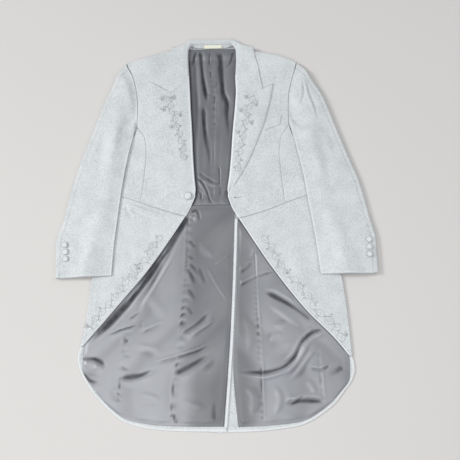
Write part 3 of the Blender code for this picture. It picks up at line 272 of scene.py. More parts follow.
def ruled(rule, low, high, shares):
    """Line whose x is a rule of y, from one height or corner point up to another."""
    y = between(np.ravel(low)[-1], np.ravel(high)[-1], shares)
    line = plan(rule(y), y)
    for end, corner in ((0, low), (-1, high)):
        if np.size(corner) == 2:
            line[end] = corner
    return line


def from_edges(grid, *sides):
    """Distance of each point of a grid from the nearest of the named edges, along its row or column."""
    edge = {"bottom": grid[:1], "top": grid[-1:], "left": grid[:, :1], "right": grid[:, -1:]}
    return np.min([np.linalg.norm(grid - edge[side], axis=-1) for side in sides], axis=0)


def joined(*blocks, down=False):
    """Blocks of (x, y, z) side by side, or one below the other."""
    return [(np.vstack if down else np.hstack)(parts) for parts in zip(*(block[:3] for block in blocks))]


print("patch helpers ready")

# %% [markdown]
# ## Folds
# A fold in laid cloth is a long soft swelling, steeper on one side, that fades at its ends, often with a hollow
# beside it. One formula gives them all: a bell across the distance to a listed line.

# %% One fold, and a list of folds
def fold_height(x, y, width, height, lean, hollow, start, end, *path):
    """Bell across a line: height * exp(-(d/w)^2), w wider on one side by lean, less a hollow beside it. It fades and
    narrows over its start and end shares, and its height is a little uneven."""
    path = np.reshape(path, (-1, 2))
    line = along_points(path, np.linspace(0, 1, 25))
    low, high = line.min(axis=0) - 3.2 * width, line.max(axis=0) + 3.2 * width
    near = (x > low[0]) & (x < high[0]) & (y > low[1]) & (y < high[1])
    result = np.zeros(np.shape(x))
    if not near.any():
        return result
    px, py = x[near][:, None], y[near][:, None]
    first, step = line[:-1], np.diff(line, axis=0)
    size = (step ** 2).sum(axis=1)
    t = np.clip(((px - first[:, 0]) * step[:, 0] + (py - first[:, 1]) * step[:, 1]) / size, 0, 1)
    dx, dy = px - first[:, 0] - t * step[:, 0], py - first[:, 1] - t * step[:, 1]
    away = dx ** 2 + dy ** 2
    best = away.argmin(axis=1)
    pick = np.arange(len(best))
    side = np.sign(dy[pick, best] * step[best, 0] - dx[pick, best] * step[best, 1])
    d = np.sqrt(away[pick, best]) * side
    share = (best + t[pick, best]) / len(size)
    fade = smooth(share / max(start, 1e-3)) * smooth((1 - share) / max(end, 1e-3))
    slim = width * (0.45 + 0.55 * fade * (0.84 + 0.16 * np.sin(11 * share + path[0, 1])))
    ridge = bell(d, slim * (1 + lean * side)) - hollow * bell(d - 1.7 * slim, slim)
    result[near] = height * ridge * fade * (0.88 + 0.12 * np.sin(8 * share + path[0, 0]))
    return result


def folded(x, y, folds, steeper=0.0):
    """Sum of a list of folds, each leaning a little more where the cloth is stiffer or sleeker."""
    heights = (fold_height(x, y, width, height, lean + steeper, *rest) for width, height, lean, *rest in folds)
    return sum(heights, np.zeros(np.shape(x)))


print("a fold 4 mm high stands", fold_height(np.zeros(1), np.zeros(1), 6, 4, 0, 0, 0.3, 0.3, -20, 0, 20, 0)[0])

# %% Folds of the shell, on each half's front, skirt and sleeve
# A row is width, height, lean, hollow, the two fading shares, then x and y of each point.
BODY_FOLDS = {
    "right": (
        (4.5, 2.8, 0.2, 0.9, 0.4, 0.3, 150, 150, 122, 143, 96, 133),
        (4, 1.1, 0, 0.4, 0.3, 0.3, 82, 132, 66, 118, 52, 96), (3.5, 1, 0, 0.4, 0.3, 0.3, 88, 122, 72, 106, 57, 84),
        (4.5, 1.3, 0, 0.5, 0.5, 0.2, 108, 74, 88, 74, 76, 64),
        (6.5, 4.4, 0.3, 0.6, 0.15, 0.5, 226, 34, 198, 26, 160, 12, 108, -4),
        (4.5, 3.4, -0.2, 1, 0.2, 0.5, 224, 38, 212, 10, 196, -12),
        (7, 1.2, 0, 0.3, 0.4, 0.4, 190, 120, 186, 90, 188, 60),
        (16, 2.2, 0, 0, 0.4, 0.4, 200, -60, 210, -150, 236, -210), (10, 1.8, 0, 0, 0.4, 0.4, 296, -180, 300, -250),
        (9, -1.6, 0, 0, 0.4, 0.4, 170, 440, 150, 400, 140, 372)),
    "left": (
        (2.6, 1, 0, 0.4, 0.1, 0.5, 66, 52, 80, 58, 100, 66), (2.4, 0.8, 0, 0.4, 0.1, 0.5, 66, 50, 82, 48, 104, 52),
        (8, 1.6, 0, 0.2, 0.4, 0.4, 172, 108, 140, 118, 110, 116),
        (18, 2.2, 0, 0, 0.4, 0.4, 206, -40, 214, -140, 262, -260), (6, 1.2, 0, 0.3, 0.4, 0.3, 150, 12, 128, 0, 100, -8),
        (11, 1.8, 0, 0, 0.4, 0.4, 250, -90, 262, -170), (10, -1.4, 0, 0, 0.4, 0.4, 196, 440, 176, 400, 170, 350),
        (1.5, -1, 0, 0, 0.05, 0.05, 143, 264.5, 165, 273, 188.5, 282)),
}
SLEEVE_FOLDS = {
    "right": (
        (5, 1.6, 0, 0.4, 0.2, 0.4, 222, 386, 236, 378, 252, 378),
        (5, 1.4, 0, 0.4, 0.2, 0.4, 222, 366, 238, 362, 256, 366),
        (14, 2.2, 0.3, 0.3, 0.3, 0.4, 232, 320, 248, 260, 262, 190, 278, 110),
        (13, 1.8, 0, 0.3, 0.4, 0.4, 300, 250, 318, 180, 330, 120),
        (12, 1.6, 0, 0.4, 0.4, 0.4, 268, 150, 300, 140, 336, 150),
        (13, 1.5, 0, 0.4, 0.4, 0.4, 262, 10, 300, 0, 350, 12),
        (12, 1.6, 0, 0.3, 0.4, 0.2, 300, -60, 320, -110, 330, -145)),
    "left": (
        (5, 3.3, 0.45, 1, 0.12, 0.35, 246, 428, 252, 385, 256, 345, 270, 298, 284, 246),
        (5, 2.8, 0.2, 0.8, 0.3, 0.2, 244, 374, 241, 330, 228, 306),
        (3.5, 1.4, 0, 0.3, 0.2, 0.3, 220, 372, 230, 370, 240, 372),
        (3.5, 1.2, 0, 0.3, 0.2, 0.3, 219, 352, 230, 350, 238, 352),
        (8, 1.8, 0, 0.4, 0.2, 0.4, 232, 310, 250, 296, 270, 290),
        (15, 2.2, 0, 0.3, 0.4, 0.4, 268, 280, 300, 200, 318, 130),
        (13, 1.8, 0, 0.3, 0.4, 0.4, 262, 200, 280, 120, 290, 60), (13, 1.6, 0, 0.4, 0.4, 0.4, 256, 20, 310, 6, 360, 16),
        (11, 1.6, 0, 0.3, 0.4, 0.15, 300, -70, 322, -110, 334, -150)),
}
for name, folds in (("shell", BODY_FOLDS), ("sleeve", SLEEVE_FOLDS)):
    print(name, "folds:", {side: len(rows) for side, rows in folds.items()})

# %% [markdown]
# ## Half a coat
# Right and left differ by a few millimetres everywhere, as a laid coat does. One class reads either half's tables
# and gives its seams, the height of its front layer, and the way from its outward x to the model's own x.

# %% A half and its heights
def to_model(x, y, z):
    """Coat millimetres as metres in the model's frame."""
    return np.stack([x - BOX_CENTRE[0], y - BOX_CENTRE[1], z], axis=-1) * MM


class Half:
    """One half of the coat: the wearer's right (-X) or left (+X). Each line of its tables is one of its methods."""

    def __init__(self, name):
        self.name, self.sign = name, -1.0 if name == "right" else 1.0
        self.waist_y, self.fold_foot = UPPER[name][0][0], CUTAWAY[name][0][0]
        lines = {
            "front_edge": column(UPPER[name], 1), "panel_seam": column(UPPER[name], 2),
            "lapel_edge": column(UPPER[name], 3), "fold": column(LENGTH[name], 1),
            "back_seam": column(LENGTH[name], 2), "cutaway": CUTAWAY[name], "front_waist": FRONT_WAIST[name],
            "back_waist": BACK_WAIST[name], "shoulder": SHOULDER[name], "hem_foot": HEM_FOOT[name],
        }
        for line, points in lines.items():
            setattr(self, line, functools.partial(through, points))

    def gorge(self, x):
        return np.interp(x, *np.transpose(GORGE[self.name]))

    def seam_line(self, y):
        return self.back_seam(y) + SEAM / 2

    def shell(self, x, y):
        """Height of the smooth front layer: a level that climbs with y, plus bells for chest and shoulder."""
        height = through(LEVEL, y)
        for rise, rise_x, rise_y, spread_x, spread_y in RISES:
            height = height + rise * np.exp(-(((x - rise_x) / spread_x) ** 2 + ((y - rise_y) / spread_y) ** 2))
        return height

    def front_face(self, x, y):
        """The front layer with its folds, which fade under the lapel and at the side fold."""
        bare = smooth((x - self.lapel_edge(y) + 4) / 10) * smooth((BREAK_Y + 400 - y) / 40)
        free = np.where(y < BREAK_Y, 1.0, bare) * smooth((self.fold(y) - 8 - x) / 14)
        return self.shell(x, y) + folded(x, y, BODY_FOLDS[self.name]) * free

    def floor(self, x, y):
        """Height of the back panels' outer face: flat, but lifted over the collar's leaf and over the vent."""
        lift = LEAF_LIFT * smooth((y - LEAF_FOOT_Y) / 16) * smooth((LEAF_SIDE_X - np.abs(x)) / 14)
        if self.name == "right":
            lap = np.clip((LAP_RAMP - x) / (LAP_RAMP - LAP_FULL), 0, 1)
            lift = lift + (CLOTH + SEAM) * lap * np.clip((36 - y) / 30, 0, 1)
        return lift

    def cover(self, x, y, wide):
        """Height that a sleeve's under layer needs to clear the body's side."""
        reach = 46.0 + 14.0 * wide
        inside = smooth((self.fold(y) + reach - x) / (reach - 14.0))
        armhole = np.minimum(through(ARMHOLE_BOTTOM, x), ARMHOLE_FOOT_Y)
        return (self.shell(x, y) + LINING_REST) * inside * smooth((armhole + 58 - y) / 28)

    def place(self, x, y, z):
        """Outward x, y and z in millimetres, as metres in the model's frame."""
        return to_model(self.sign * x, y, z)


RIGHT, LEFT = Half("right"), Half("left")
HALVES = (RIGHT, LEFT)
print("shell over the chest:", round(float(RIGHT.shell(135.0, 255.0)), 1), "mm")

# %% [markdown]
# ## From a grid to a piece of cloth
# Each sheet is a grid of points. The grid is its outer face, and Solidify gives the wall inwards, so the edge has
# a real thickness. Its own UV map, in metres, carries the weave. The size of each cut along its own surface is
# measured.

# %% Make a sheet, and measure its cut
materials, pieces, cuts = {}, {}, {}


def mesh_piece(name, points, faces, slot, grain=None, replaces=(), marks=None):
    """A mesh object in the row frame with the name of its finish, its UV map and its place in the table."""
    mesh = bpy.data.meshes.new(name)
    mesh.from_pydata(points.tolist(), [], faces if isinstance(faces, list) else faces.tolist())
    mesh.shade_smooth()
    layer = mesh.uv_layers.new(name="grain")
    corner = np.zeros(len(mesh.loops), np.int32)
    mesh.loops.foreach_get("vertex_index", corner)
    grain = points[:, :2] if grain is None else grain
    layer.data.foreach_set("uv", np.ascontiguousarray(grain[corner], np.float32).ravel())
    for key, values in (marks or {}).items():
        spots = mesh.attributes.new(key, "FLOAT", "POINT").data
        spots.foreach_set("value", np.ascontiguousarray(values, np.float32))
    thing = bpy.data.objects.new(name, mesh)
    bpy.context.scene.collection.objects.link(thing)
    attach(thing, "root")
    if replaces:
        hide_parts(*replaces)
    slot in ("cloth", "lining", "label", "button")
    mesh["finish"] = slot
    pieces[name] = thing
    return thing


def cloth_piece(name, grid, wall, slot, flip=False, keep=None, grain=None, node=None, marks=None):
    """Quads between a grid's rows and columns, with a wall that goes inwards from the outer face. The marks are
    values at its points that the finishes read."""
    rows, columns = grid.shape[:2]
    index = np.arange(rows * columns).reshape(rows, columns)
    corners = np.stack([index[:-1, :-1], index[:-1, 1:], index[1:, 1:], index[1:, :-1]], axis=-1)
    corners = corners.reshape(-1, 4) if keep is None else corners[keep]
    if flip:
        corners = corners[:, ::-1]
    used, faces = np.unique(corners, return_inverse=True)
    flat_grain = None if grain is None else grain.reshape(-1, 2)[used]
    spread = {key: np.broadcast_to(value, grid.shape[:2]).reshape(-1)[used] for key, value in (marks or {}).items()}
    faces = faces.reshape(-1, 4)
    thing = mesh_piece(name, grid.reshape(-1, 3)[used], faces, slot, flat_grain, (node,) if node else (), spread)
    shell = thing.modifiers.new("wall", "SOLIDIFY")
    shell.thickness, shell.offset = wall * MM, -1.0
    a, b = grid[1:, 1:] - grid[:-1, :-1], grid[1:, :-1] - grid[:-1, 1:]
    quads = np.linalg.norm(np.cross(a, b), axis=-1) / 2
    along = np.linalg.norm(np.diff(grid, axis=0), axis=-1)
    over = np.linalg.norm(np.diff(grid, axis=1), axis=-1)
    if keep is not None:
        quads, along, over = quads * keep, along[:, 1:] * keep, over[1:] * keep
    cuts[name] = (float(over.sum(axis=1).max()), float(along.sum(axis=0).max()), float(quads.sum()))
    print(f"{name}: {len(faces)} quads, cut {cuts[name][0]:.3f} x {cuts[name][1]:.3f} m")
    return thing


def half_sheet(half, kind, grid, flipped=RIGHT, wall=CLOTH, **more):
    """A half's cloth sheet in place of its solid node, turned inside out on one half."""
    cloth_piece(f"cloth_{kind}_{half.name}", grid, wall, "cloth", half is flipped, node=f"{kind}_{half.name}", **more)


# %% [markdown]
# ## Rounding the side fold and the shoulder
# Where a layer turns over, its path is half a circle between two heights. The circle is held to nine millimetres
# sideways, which is how far thick cloth bulges when it is laid by hand.

# %% Half turns
TURN = np.linspace(0, 180, 15)[1:-1]


def half_turn(x, y, height, low, angles, direction=(1.0, 0.0)):
    """Half circle from height down to low, its bulge min(radius, 9) along direction."""
    radius = (height - low) / 2
    angle = np.radians(angles)[None, :]
    reach = np.minimum(radius, RIDGE_WIDEST)[:, None] * np.sin(angle)
    return (x[:, None] + direction[0] * reach, y[:, None] + direction[1] * reach,
            ((height + low) / 2)[:, None] + radius[:, None] * np.cos(angle))


def fold_start(half, y):
    """Where the front layer starts to turn at the side fold."""
    edge = half.fold(y)
    return edge - half.shell(edge, y) / 2


def ridge_start(half, x):
    """Where the layers start to turn over the shoulder."""
    y = half.shoulder(x)
    return y - np.minimum(half.shell(x, y) / 2, RIDGE_WIDEST)


def ridge_turn(x, y, height, low, angles):
    """Turn over the shoulder; its last column leans out beside the sleeve head."""
    px, py, pz = half_turn(x, y, height, low, angles, (0.0, 1.0))
    px[-1] += HEAD_LEAN * (py[-1] - y[-1])
    return px, py, pz


def ridge_end(half):
    """Outward x where the shoulder line meets the armhole, found by repeating."""
    x = half.fold(400.0)
    for _ in range(8):
        y = ridge_start(half, x)
        x = min(half.panel_seam(y), half.back_seam(y)) - SEAM
    return x


print("shoulder ends at", round(float(ridge_end(RIGHT)), 1), "mm")

# %% [markdown]
# ## Fronts
# The front of a morning coat runs from the waist seam to the shoulder. On the table it is a patch between the roll
# line, the panel seam, the waist and the shoulder ridge. Its seams sink a little, as pressed seams do.

# %% Fronts
def seam_dip(grid, *sides):
    """Sink towards the named edges: 0.7 * exp(-(d/1.8)^2)."""
    return 0.7 * bell(from_edges(grid, *sides), 1.8)


def make_front(half, rows=112, columns=44):
    """Coons patch at the height of the folded front layer, less the seams' dips, with half a turn over the shoulder
    along its last row."""

    def inner(y):
        return half.front_edge(y) + (ROLL_RADIUS + SEAM_INSIDE_ROLL) * smooth((y - BREAK_Y + 16) / 12)

    waist_in = half.front_edge(half.waist_y)
    panel = half.panel_seam(half.front_waist(PANEL_FOOT_X))
    waist_x = between(waist_in, panel - SEAM / 2, eased(columns))
    bottom = plan(waist_x, half.front_waist(waist_x) + SEAM / 2)
    top_x = between(NECK_POINT_X, ridge_end(half), eased(columns))
    top = plan(top_x, ridge_start(half, top_x))
    left = ruled(inner, bottom[0], top[0], eased(rows, 0.4))
    right = ruled(lambda y: half.panel_seam(y) - SEAM / 2, bottom[-1], top[-1], eased(rows, 0.4))
    grid = coons(bottom, top, left, right)
    x, y = grid[..., 0], grid[..., 1]
    height = half.front_face(x, y) - seam_dip(grid, "bottom", "right") * smooth((top[:, 1] - 30 - y) / 30)
    free_edge = from_edges(grid, "left")
    height = height - 0.8 * bell(free_edge, 1.4) * smooth((BREAK_Y - 6 - y) / 12)
    turn = ridge_turn(x[-1], y[-1], height[-1], half.floor(x[-1], y[-1]), np.linspace(8, 106.5, 13))
    whole = half.place(*joined((x, y, height), [part.T for part in turn], down=True))
    # The rim mark paints a highlight along the front's free edge below the break.
    rim = np.zeros(whole.shape[:2])
    rim[:rows] = bell(free_edge, 2.4) * smooth((BREAK_Y + 4 - y) / 12)
    half_sheet(half, "front", whole, marks={"rim": rim})


for half in HALVES:
    make_front(half)

# %% [markdown]
# ## Side bodies and skirts
# The side body turns round the side fold and ends at the curved side-back seam. The skirt does the same below the
# waist and also carries the hem, so its grid has a lower part that only the back layer fills.

# %% Side bodies
def wrapped(half, top_xy, back_xy, dip):
    """Front-layer grid and back-layer grid, joined round the side fold."""
    x, y = top_xy[..., 0], top_xy[..., 1]
    z = half.front_face(x, y) - dip
    turn = half_turn(x[:, -1], y[:, -1], z[:, -1], np.zeros(len(x)), TURN)
    return half.place(*joined((x, y, z), turn, (back_xy[..., 0], back_xy[..., 1], np.zeros(back_xy.shape[:2]))))


def back_waist_row(half, fold_point, seam_point, gap, across):
    """The waist seam's line on the back layer, from the side fold to the side-back seam."""
    x = between(fold_point[0], half.back_seam(LINING_WAIST_Y), across)
    row = plan(x, half.back_waist(x) + gap)
    row[0], row[-1] = fold_point, seam_point
    return row


def make_side(half, rows=60, columns=26):
    """Two Coons patches, one on the front layer and one on the floor, joined by half a turn at the side fold."""
    across = np.linspace(0, 1, 16)
    panel = half.panel_seam(half.front_waist(PANEL_FOOT_X)) + SEAM / 2
    waist_x = between(panel, fold_start(half, FOLD_WAIST_Y), eased(columns))
    waist = plan(waist_x, half.front_waist(waist_x) + SEAM / 2)
    arm_x = between(ARMHOLE_IN_X + SEAM, fold_start(half, FOLD_ARMHOLE_Y), eased(columns))
    armhole = plan(arm_x, through(ARMHOLE_BOTTOM, arm_x))
    foot = half.front_waist(PANEL_FOOT_X) + SEAM / 2
    left_y = between(foot, PANEL_TOP_Y, eased(rows))
    left = plan(half.panel_seam(left_y) + SEAM / 2, left_y)
    left[0], left[-1] = waist[0], armhole[0]
    right = ruled(lambda y: fold_start(half, y), waist[-1], armhole[-1], eased(rows))
    top = coons(waist, armhole, left, right)
    outer = ruled(half.seam_line, LINING_WAIST_Y + SEAM / 2, BACK_SEAM_TOP_Y, eased(rows))
    back_waist = back_waist_row(half, waist[-1], outer[0], SEAM / 2, across)
    back_arm_x = between(armhole[-1, 0], outer[-1, 0], across)
    back_arm = plan(back_arm_x, through(BACK_ARMHOLE_BOTTOM, back_arm_x))
    back_arm[0], back_arm[-1] = armhole[-1], outer[-1]
    back = coons(back_waist, back_arm, right, outer)
    half_sheet(half, "side", wrapped(half, top, back, seam_dip(top, "bottom", "left")))


for half in HALVES:
    make_side(half)

# %% Skirts
def make_skirt(half, rows=84, front_columns=62):
    """Two Coons patches joined by half a turn at the side fold, and a third below them on the floor, down to the
    rounded hem. The cutaway edge has a bead: it drops by exp(-(d/1.1)^2) and swells 3 mm in."""
    across = np.linspace(0, 1, 40)
    waist_in, fold_x = half.front_edge(half.waist_y), fold_start(half, FOLD_WAIST_Y)
    waist_x = between(waist_in, fold_x, eased(front_columns, 0.6))
    waist = plan(waist_x, half.front_waist(waist_x) - SEAM / 2)
    foot, up = half.fold_foot, eased(rows, 0.5)
    cutaway = ruled(half.cutaway, foot, waist[0], up)
    side = ruled(lambda y: fold_start(half, y), foot, waist[-1], up)
    top = coons(np.linspace(cutaway[0], side[0], front_columns), waist, cutaway, side)
    edge = from_edges(top, "left")
    dip = seam_dip(top, "top") + 1.0 * bell(edge, 1.1) - 0.5 * bell(edge - 3.0, 2.2)
    seam = ruled(half.seam_line, foot, LINING_WAIST_Y - SEAM / 2, up)
    back_waist = back_waist_row(half, waist[-1], seam[-1], -SEAM / 2, across)
    back_foot = np.linspace(side[0], seam[0], len(across))
    grid = wrapped(half, top, coons(back_foot, back_waist, side, seam), dip * smooth((edge + 60) / 60))

    down = np.linspace(0, 1, 48)
    low_seam = ruled(half.seam_line, foot, half.hem_foot(half.back_seam(HEM_Y)), down)
    along_foot = [point for point in HEM_FOOT[half.name][1:] if point[0] > low_seam[-1, 0] + 8]
    hem = [HEM_SIDE[half.name][-1], *along_foot, tuple(low_seam[-1])]
    hem_side = along_points([tuple(side[0]), *HEM_SIDE[half.name]], down)
    lower = coons(back_foot, along_points(hem, across), hem_side, low_seam)[::-1][:-1]
    wide = grid.shape[1]
    lower_grid = np.zeros((len(lower), wide, 3))
    lower_grid[:, -len(across):] = half.place(lower[..., 0], lower[..., 1], np.zeros(lower.shape[:2]))
    keep = np.ones((len(lower) + rows - 1, wide - 1), bool)
    keep[:len(lower), :wide - len(across)] = False
    # The rim mark paints a highlight along the cutaway edge.
    rim = np.zeros((len(lower) + rows, wide))
    rim[len(lower):, :front_columns] = bell(edge, 2.8)
    half_sheet(half, "skirt", np.vstack([lower_grid, grid]), keep=keep, marks={"rim": rim})


for half in HALVES:
    make_skirt(half)

# %% [markdown]
# ## Back panels
# They lie on the floor from hem to neck, and carry the coat over the shoulder ridge. The right one laps over the
# left below the top of the vent, on a short ramp.

# %% Back panels
def make_back(half):
    """Rows of even steps at the hem that blend with height into steps that fan out to the shoulder, at the height of
    the floor, with half a turn over the shoulder along the last row."""
    low = half.hem_foot(half.back_seam(HEM_Y))
    levels = np.concatenate([np.linspace(low, -6, 70), np.linspace(2, 240, 36), np.linspace(246, 430, 28)])[:, None]
    ridge_x = between(NECK_POINT_X, ridge_end(half), np.linspace(0, 1, 18))
    neck_x = np.linspace(SEAM / 2, NECK_IN_X, 9)
    top_x = np.concatenate([neck_x, ridge_x])
    top_y = np.concatenate([np.full(len(neck_x), NECK_Y - 8.0), ridge_start(half, ridge_x)])
    outer = half.back_seam(levels) - SEAM / 2
    laps = (levels < VENT_TOP_Y) if half is RIGHT else np.zeros_like(levels, bool)
    edge = np.where(laps, -through(VENT_EDGE, levels), SEAM / 2)
    ramp = np.linspace(0, 1, 8)[None]
    inside = between(LAP_RAMP, outer, np.linspace(0, 1, len(top_x) - len(neck_x))[None, 1:])
    onto = np.repeat(np.array([[(LAP_FULL + LAP_RAMP) / 2, LAP_RAMP]]), len(levels), axis=0)
    even = np.hstack([between(edge, LAP_FULL, ramp), onto, inside])
    full = np.tile(top_x[None], (len(levels), 1)) * outer / top_x[-1]
    full[:, 0] = SEAM / 2
    blend = smooth((levels - 120) / 230)
    x = even * (1 - blend) + full * blend
    y = np.tile(levels, (1, x.shape[1]))
    y[0, :-1] = half.hem_foot(x[0, :-1])
    share = np.linspace(0, 1, 10)[1:, None]
    more_x, more_y = between(x[-1], top_x, share), between(y[-1], top_y, share)
    more_x[:, -1] = np.minimum(more_x[:, -1], half.back_seam(more_y[:, -1]) - SEAM / 2)
    x, y = np.vstack([x, more_x]), np.vstack([y, more_y])
    z = half.floor(x, y)
    turn = ridge_turn(x[-1], y[-1], half.shell(x[-1], y[-1]), z[-1], np.linspace(172, 116.5, 8))
    on_neck = (x[-1] < NECK_POINT_X - 1)[:, None]
    turn_y = np.where(on_neck, y[-1][:, None] + np.linspace(1, 8, 8)[None], turn[1])
    turn_z = np.where(on_neck, z[-1][:, None], turn[2])
    half_sheet(half, "back", half.place(*joined((x, y, z), (turn[0].T, turn_y.T, turn_z.T), down=True)), LEFT)


for half in HALVES:
    make_back(half)

# %% [markdown]
# ## Lapels
# A lapel is the front turned back on itself: a leaf on the chest, a soft roll at the front edge and a return
# inside. The profile across it is one path, and the peak's edge has a rounded bead with a stitched groove behind.

# %% Lapels
ROLL_AT_GORGE, COLLAR_CORNER_X = (64.0, 401.5), 137.0
gorge_lines = {}


def lapel_face(half, x, y):
    """Height of the leaf: the shell, plus its wall and the gap under it, which closes towards the roll."""
    rise = LAPEL_REST * smooth((x - half.front_edge(y)) / 20 - 0.3) + LAPEL
    return half.shell(x, y) + np.maximum(rise, REST + LAPEL)


def bead(away, depth=0.9):
    """Turned edge: drops at the very edge, with a groove 4.5 mm in, where the stitches pull."""
    return -depth * bell(away, 1.2) - 0.4 * bell(away - 4.5, 1.3)


def make_lapel(half):
    """Coons patch on the leaf's height with a bead along its free edges, then half a turn of the roll's radius and a
    flat return inside. Towards the gorge the roll is drawn to the collar's by powers of the distance across."""

    def roll(y):
        return half.front_edge(y) + ROLL_RADIUS

    up = eased(124, 0.85)
    gorge_x = np.array([point[0] for point in GORGE[half.name]])
    roll_end = roll(half.gorge(roll(GORGE_Y)))
    peak = half.lapel_edge(GORGE[half.name][-1][1])
    peak_part, gorge_part = between(peak, gorge_x[1], eased(26)), between(gorge_x[1], roll_end, eased(22))
    top_x = np.concatenate([peak_part, gorge_part[1:]])
    free = (np.arange(len(top_x)) < len(peak_part) - 1) & ((top_x > COLLAR_CORNER_X) | (half is RIGHT))
    top = plan(top_x, half.gorge(top_x) - np.where(free, SEAM, 0.04))
    share = (top_x[0] - top_x) / (top_x[0] - top_x[-1])
    wide_foot = half.lapel_edge(BREAK_Y) + 6
    bottom = plan(between(wide_foot, roll(BREAK_Y), share), np.full(len(top_x), BREAK_Y))
    outer_y = between(BREAK_Y, top[0, 1], up)
    outer = plan(half.lapel_edge(outer_y) + 6 * (1 - smooth((outer_y - BREAK_Y) / 40)), outer_y)
    inner = ruled(roll, BREAK_Y, top[-1, 1], up)
    grid = coons(bottom, top, outer, inner)
    inwards, level = np.linspace(0, 1, len(top_x))[None], grid[..., 1]
    near_top = smooth((level - level[-1, -1] + 45) / 45)
    shift, lift = ROLL_AT_GORGE[0] - half.front_edge(GORGE_Y), ROLL_AT_GORGE[1] - level[-1, -1]
    drop = 13.0 * (1 - smooth((level - BREAK_Y) / 40)) * inwards ** 5
    x = grid[..., 0] + shift * near_top * inwards ** 3 + half.front_edge(level - drop) - half.front_edge(level)
    grid = np.stack([x, level + lift * near_top * inwards ** 16 - drop], axis=-1)
    x, y = grid[..., 0], grid[..., 1]
    gorge_lines[half.name] = (x[-1, ::-1], y[-1, ::-1])
    above_break = smooth((y - BREAK_Y - 6) / 30)
    out_of_front = smooth((y - y[:1]) / 18)
    from_gorge, from_side, from_roll = (from_edges(grid, side) for side in ("top", "left", "right"))
    away = np.minimum(from_side, np.where(free[None], from_gorge, 99.0))
    belly = 0.9 * smooth((x - half.front_edge(y) - 6) / 30) * smooth(away / 30) * smooth(from_gorge / 25)
    top_z = lapel_face(half, x, y) + (bead(away) + belly) * above_break - 2.9 * (1 - out_of_front)
    low = top_z[:, -1] - 2 * ROLL_RADIUS * (0.5 + 0.5 * out_of_front[:, -1])
    turn = half_turn(x[:, -1], y[:, -1], top_z[:, -1], low, TURN, (-1.0, 0.0))
    inside = np.linspace(0, WRAP_RETURN, 4)[None] + np.zeros((len(x), 1))
    back = (x[:, -1:] + inside, y[:, -1:] + 0 * inside, low[:, None] + 0 * inside)
    # The rim mark paints a highlight on the roll, the outer edge and the turn; the groove mark paints shade along the
    # peak's top edge and, fainter, along the gorge.
    on_roll = np.tile(bell(TURN, 60.0), (len(x), 1))
    rim = np.hstack([bell(from_roll, 1.5) + 0.3 * bell(from_side, 1.3), on_roll, 0 * inside])
    depth = np.where(free, 1.0, 0.4 if half is RIGHT else 0.12)[None]
    groove = np.hstack([depth * bell(from_gorge, 1.8), 0 * turn[0], 0 * inside])
    half_sheet(half, "lapel", half.place(*joined((x, y, top_z), turn, back)), LEFT, LAPEL,
               marks={"rim": np.clip(rim, 0, 1), "hollow": groove})


for half in HALVES:
    make_lapel(half)

# %% [markdown]
# ## Sleeves
# A jacket sleeve is two long pieces, upper and under. Laid flat it is a bag with a round fold on each side. Across
# it runs h from 0 at the inner fold to 1 at the outer, and down it runs the share of its length. Near the top the
# straight line across bends into the armhole's curve.

# %% A sleeve's points and heights
def sleeve_line(half, share, h):
    """Point on the straight line between the folds, and its direction: inner + direction * (4 + h * (end - 4))."""
    inner_x, inner_y, outer_x, outer_y = (through(column(SLEEVE[half.name], k), share) for k in range(1, 5))
    inner, outer = np.stack([inner_x, inner_y], axis=-1), np.stack([outer_x, outer_y], axis=-1)
    length = np.linalg.norm(outer - inner, axis=-1)
    along = (outer - inner) / length[..., None]
    end = length - 6.0 - 3.0 * (1 - smooth(share / 0.2))
    point = inner + along * (4.0 + h * (end - 4.0))[..., None]
    return point[..., 0], point[..., 1], along


def sleeve_ring(half, share, h, low_layer):
    """The same point, moved sideways onto the armhole's curve by 1 - smooth(share / 0.14)."""
    x, y, along = sleeve_line(half, share, h)
    top_x, top_y, _ = sleeve_line(half, np.zeros_like(share), h)
    inner_x, inner_y = SLEEVE[half.name][0][1:3]
    rule = half.back_seam if low_layer else half.panel_seam
    edge = rule(np.clip(top_y, ARMHOLE_TOP_Y, None)) + ARMHOLE_GAP + HEAD_GAP * smooth((h - 0.8) / 0.2)
    tail = between(inner_x, edge, smooth((top_y - inner_y) / 36))
    curved = np.where(top_y > ARMHOLE_TOP_Y, edge, tail)
    return x + (1 - smooth(share / 0.14)) * (curved - top_x), y, along


def sleeve_height(half, share, h, x, y):
    """Upper face: what lies under it, plus a loft that is highest mid-way, the head's swell and the folds."""
    loft = through(SLEEVE_LOFT, share) + CUFF_MOUTH[half.name] * smooth((share - 0.8) / 0.2) * smooth(h / 0.5)
    head = HEAD_LOFT * bell(share, 0.13) * smooth(h * 1.2)
    low = 0.25 + 0.15 * smooth(share / 0.3)
    flat_edge = low + (1 - low) * smooth(h / (0.95 - 0.45 * smooth(share / 0.3)))
    free = half.cover(x, y, 1.0) + loft * (0.8 + 0.2 * 4 * h * (1 - h)) * flat_edge + head
    free = free + folded(x, y, SLEEVE_FOLDS[half.name]) * (smooth(h / 0.12) * smooth((0.93 - h) / 0.1))
    return between(half.shell(x, y), free, smooth(share / 0.05))


def sleeve_part(half, rows, hs, low_layer):
    """Grid of a sleeve's upper or under layer, over shares of the length and of the width."""
    share = np.repeat(rows[:, None], len(hs), axis=1)
    h = np.repeat(np.asarray(hs, float)[None, :], len(rows), axis=0)
    x, y, along = sleeve_ring(half, share, h, low_layer)
    z = half.cover(x, y, 0.0) if low_layer else sleeve_height(half, share, h, x, y)
    return x, y, z, along


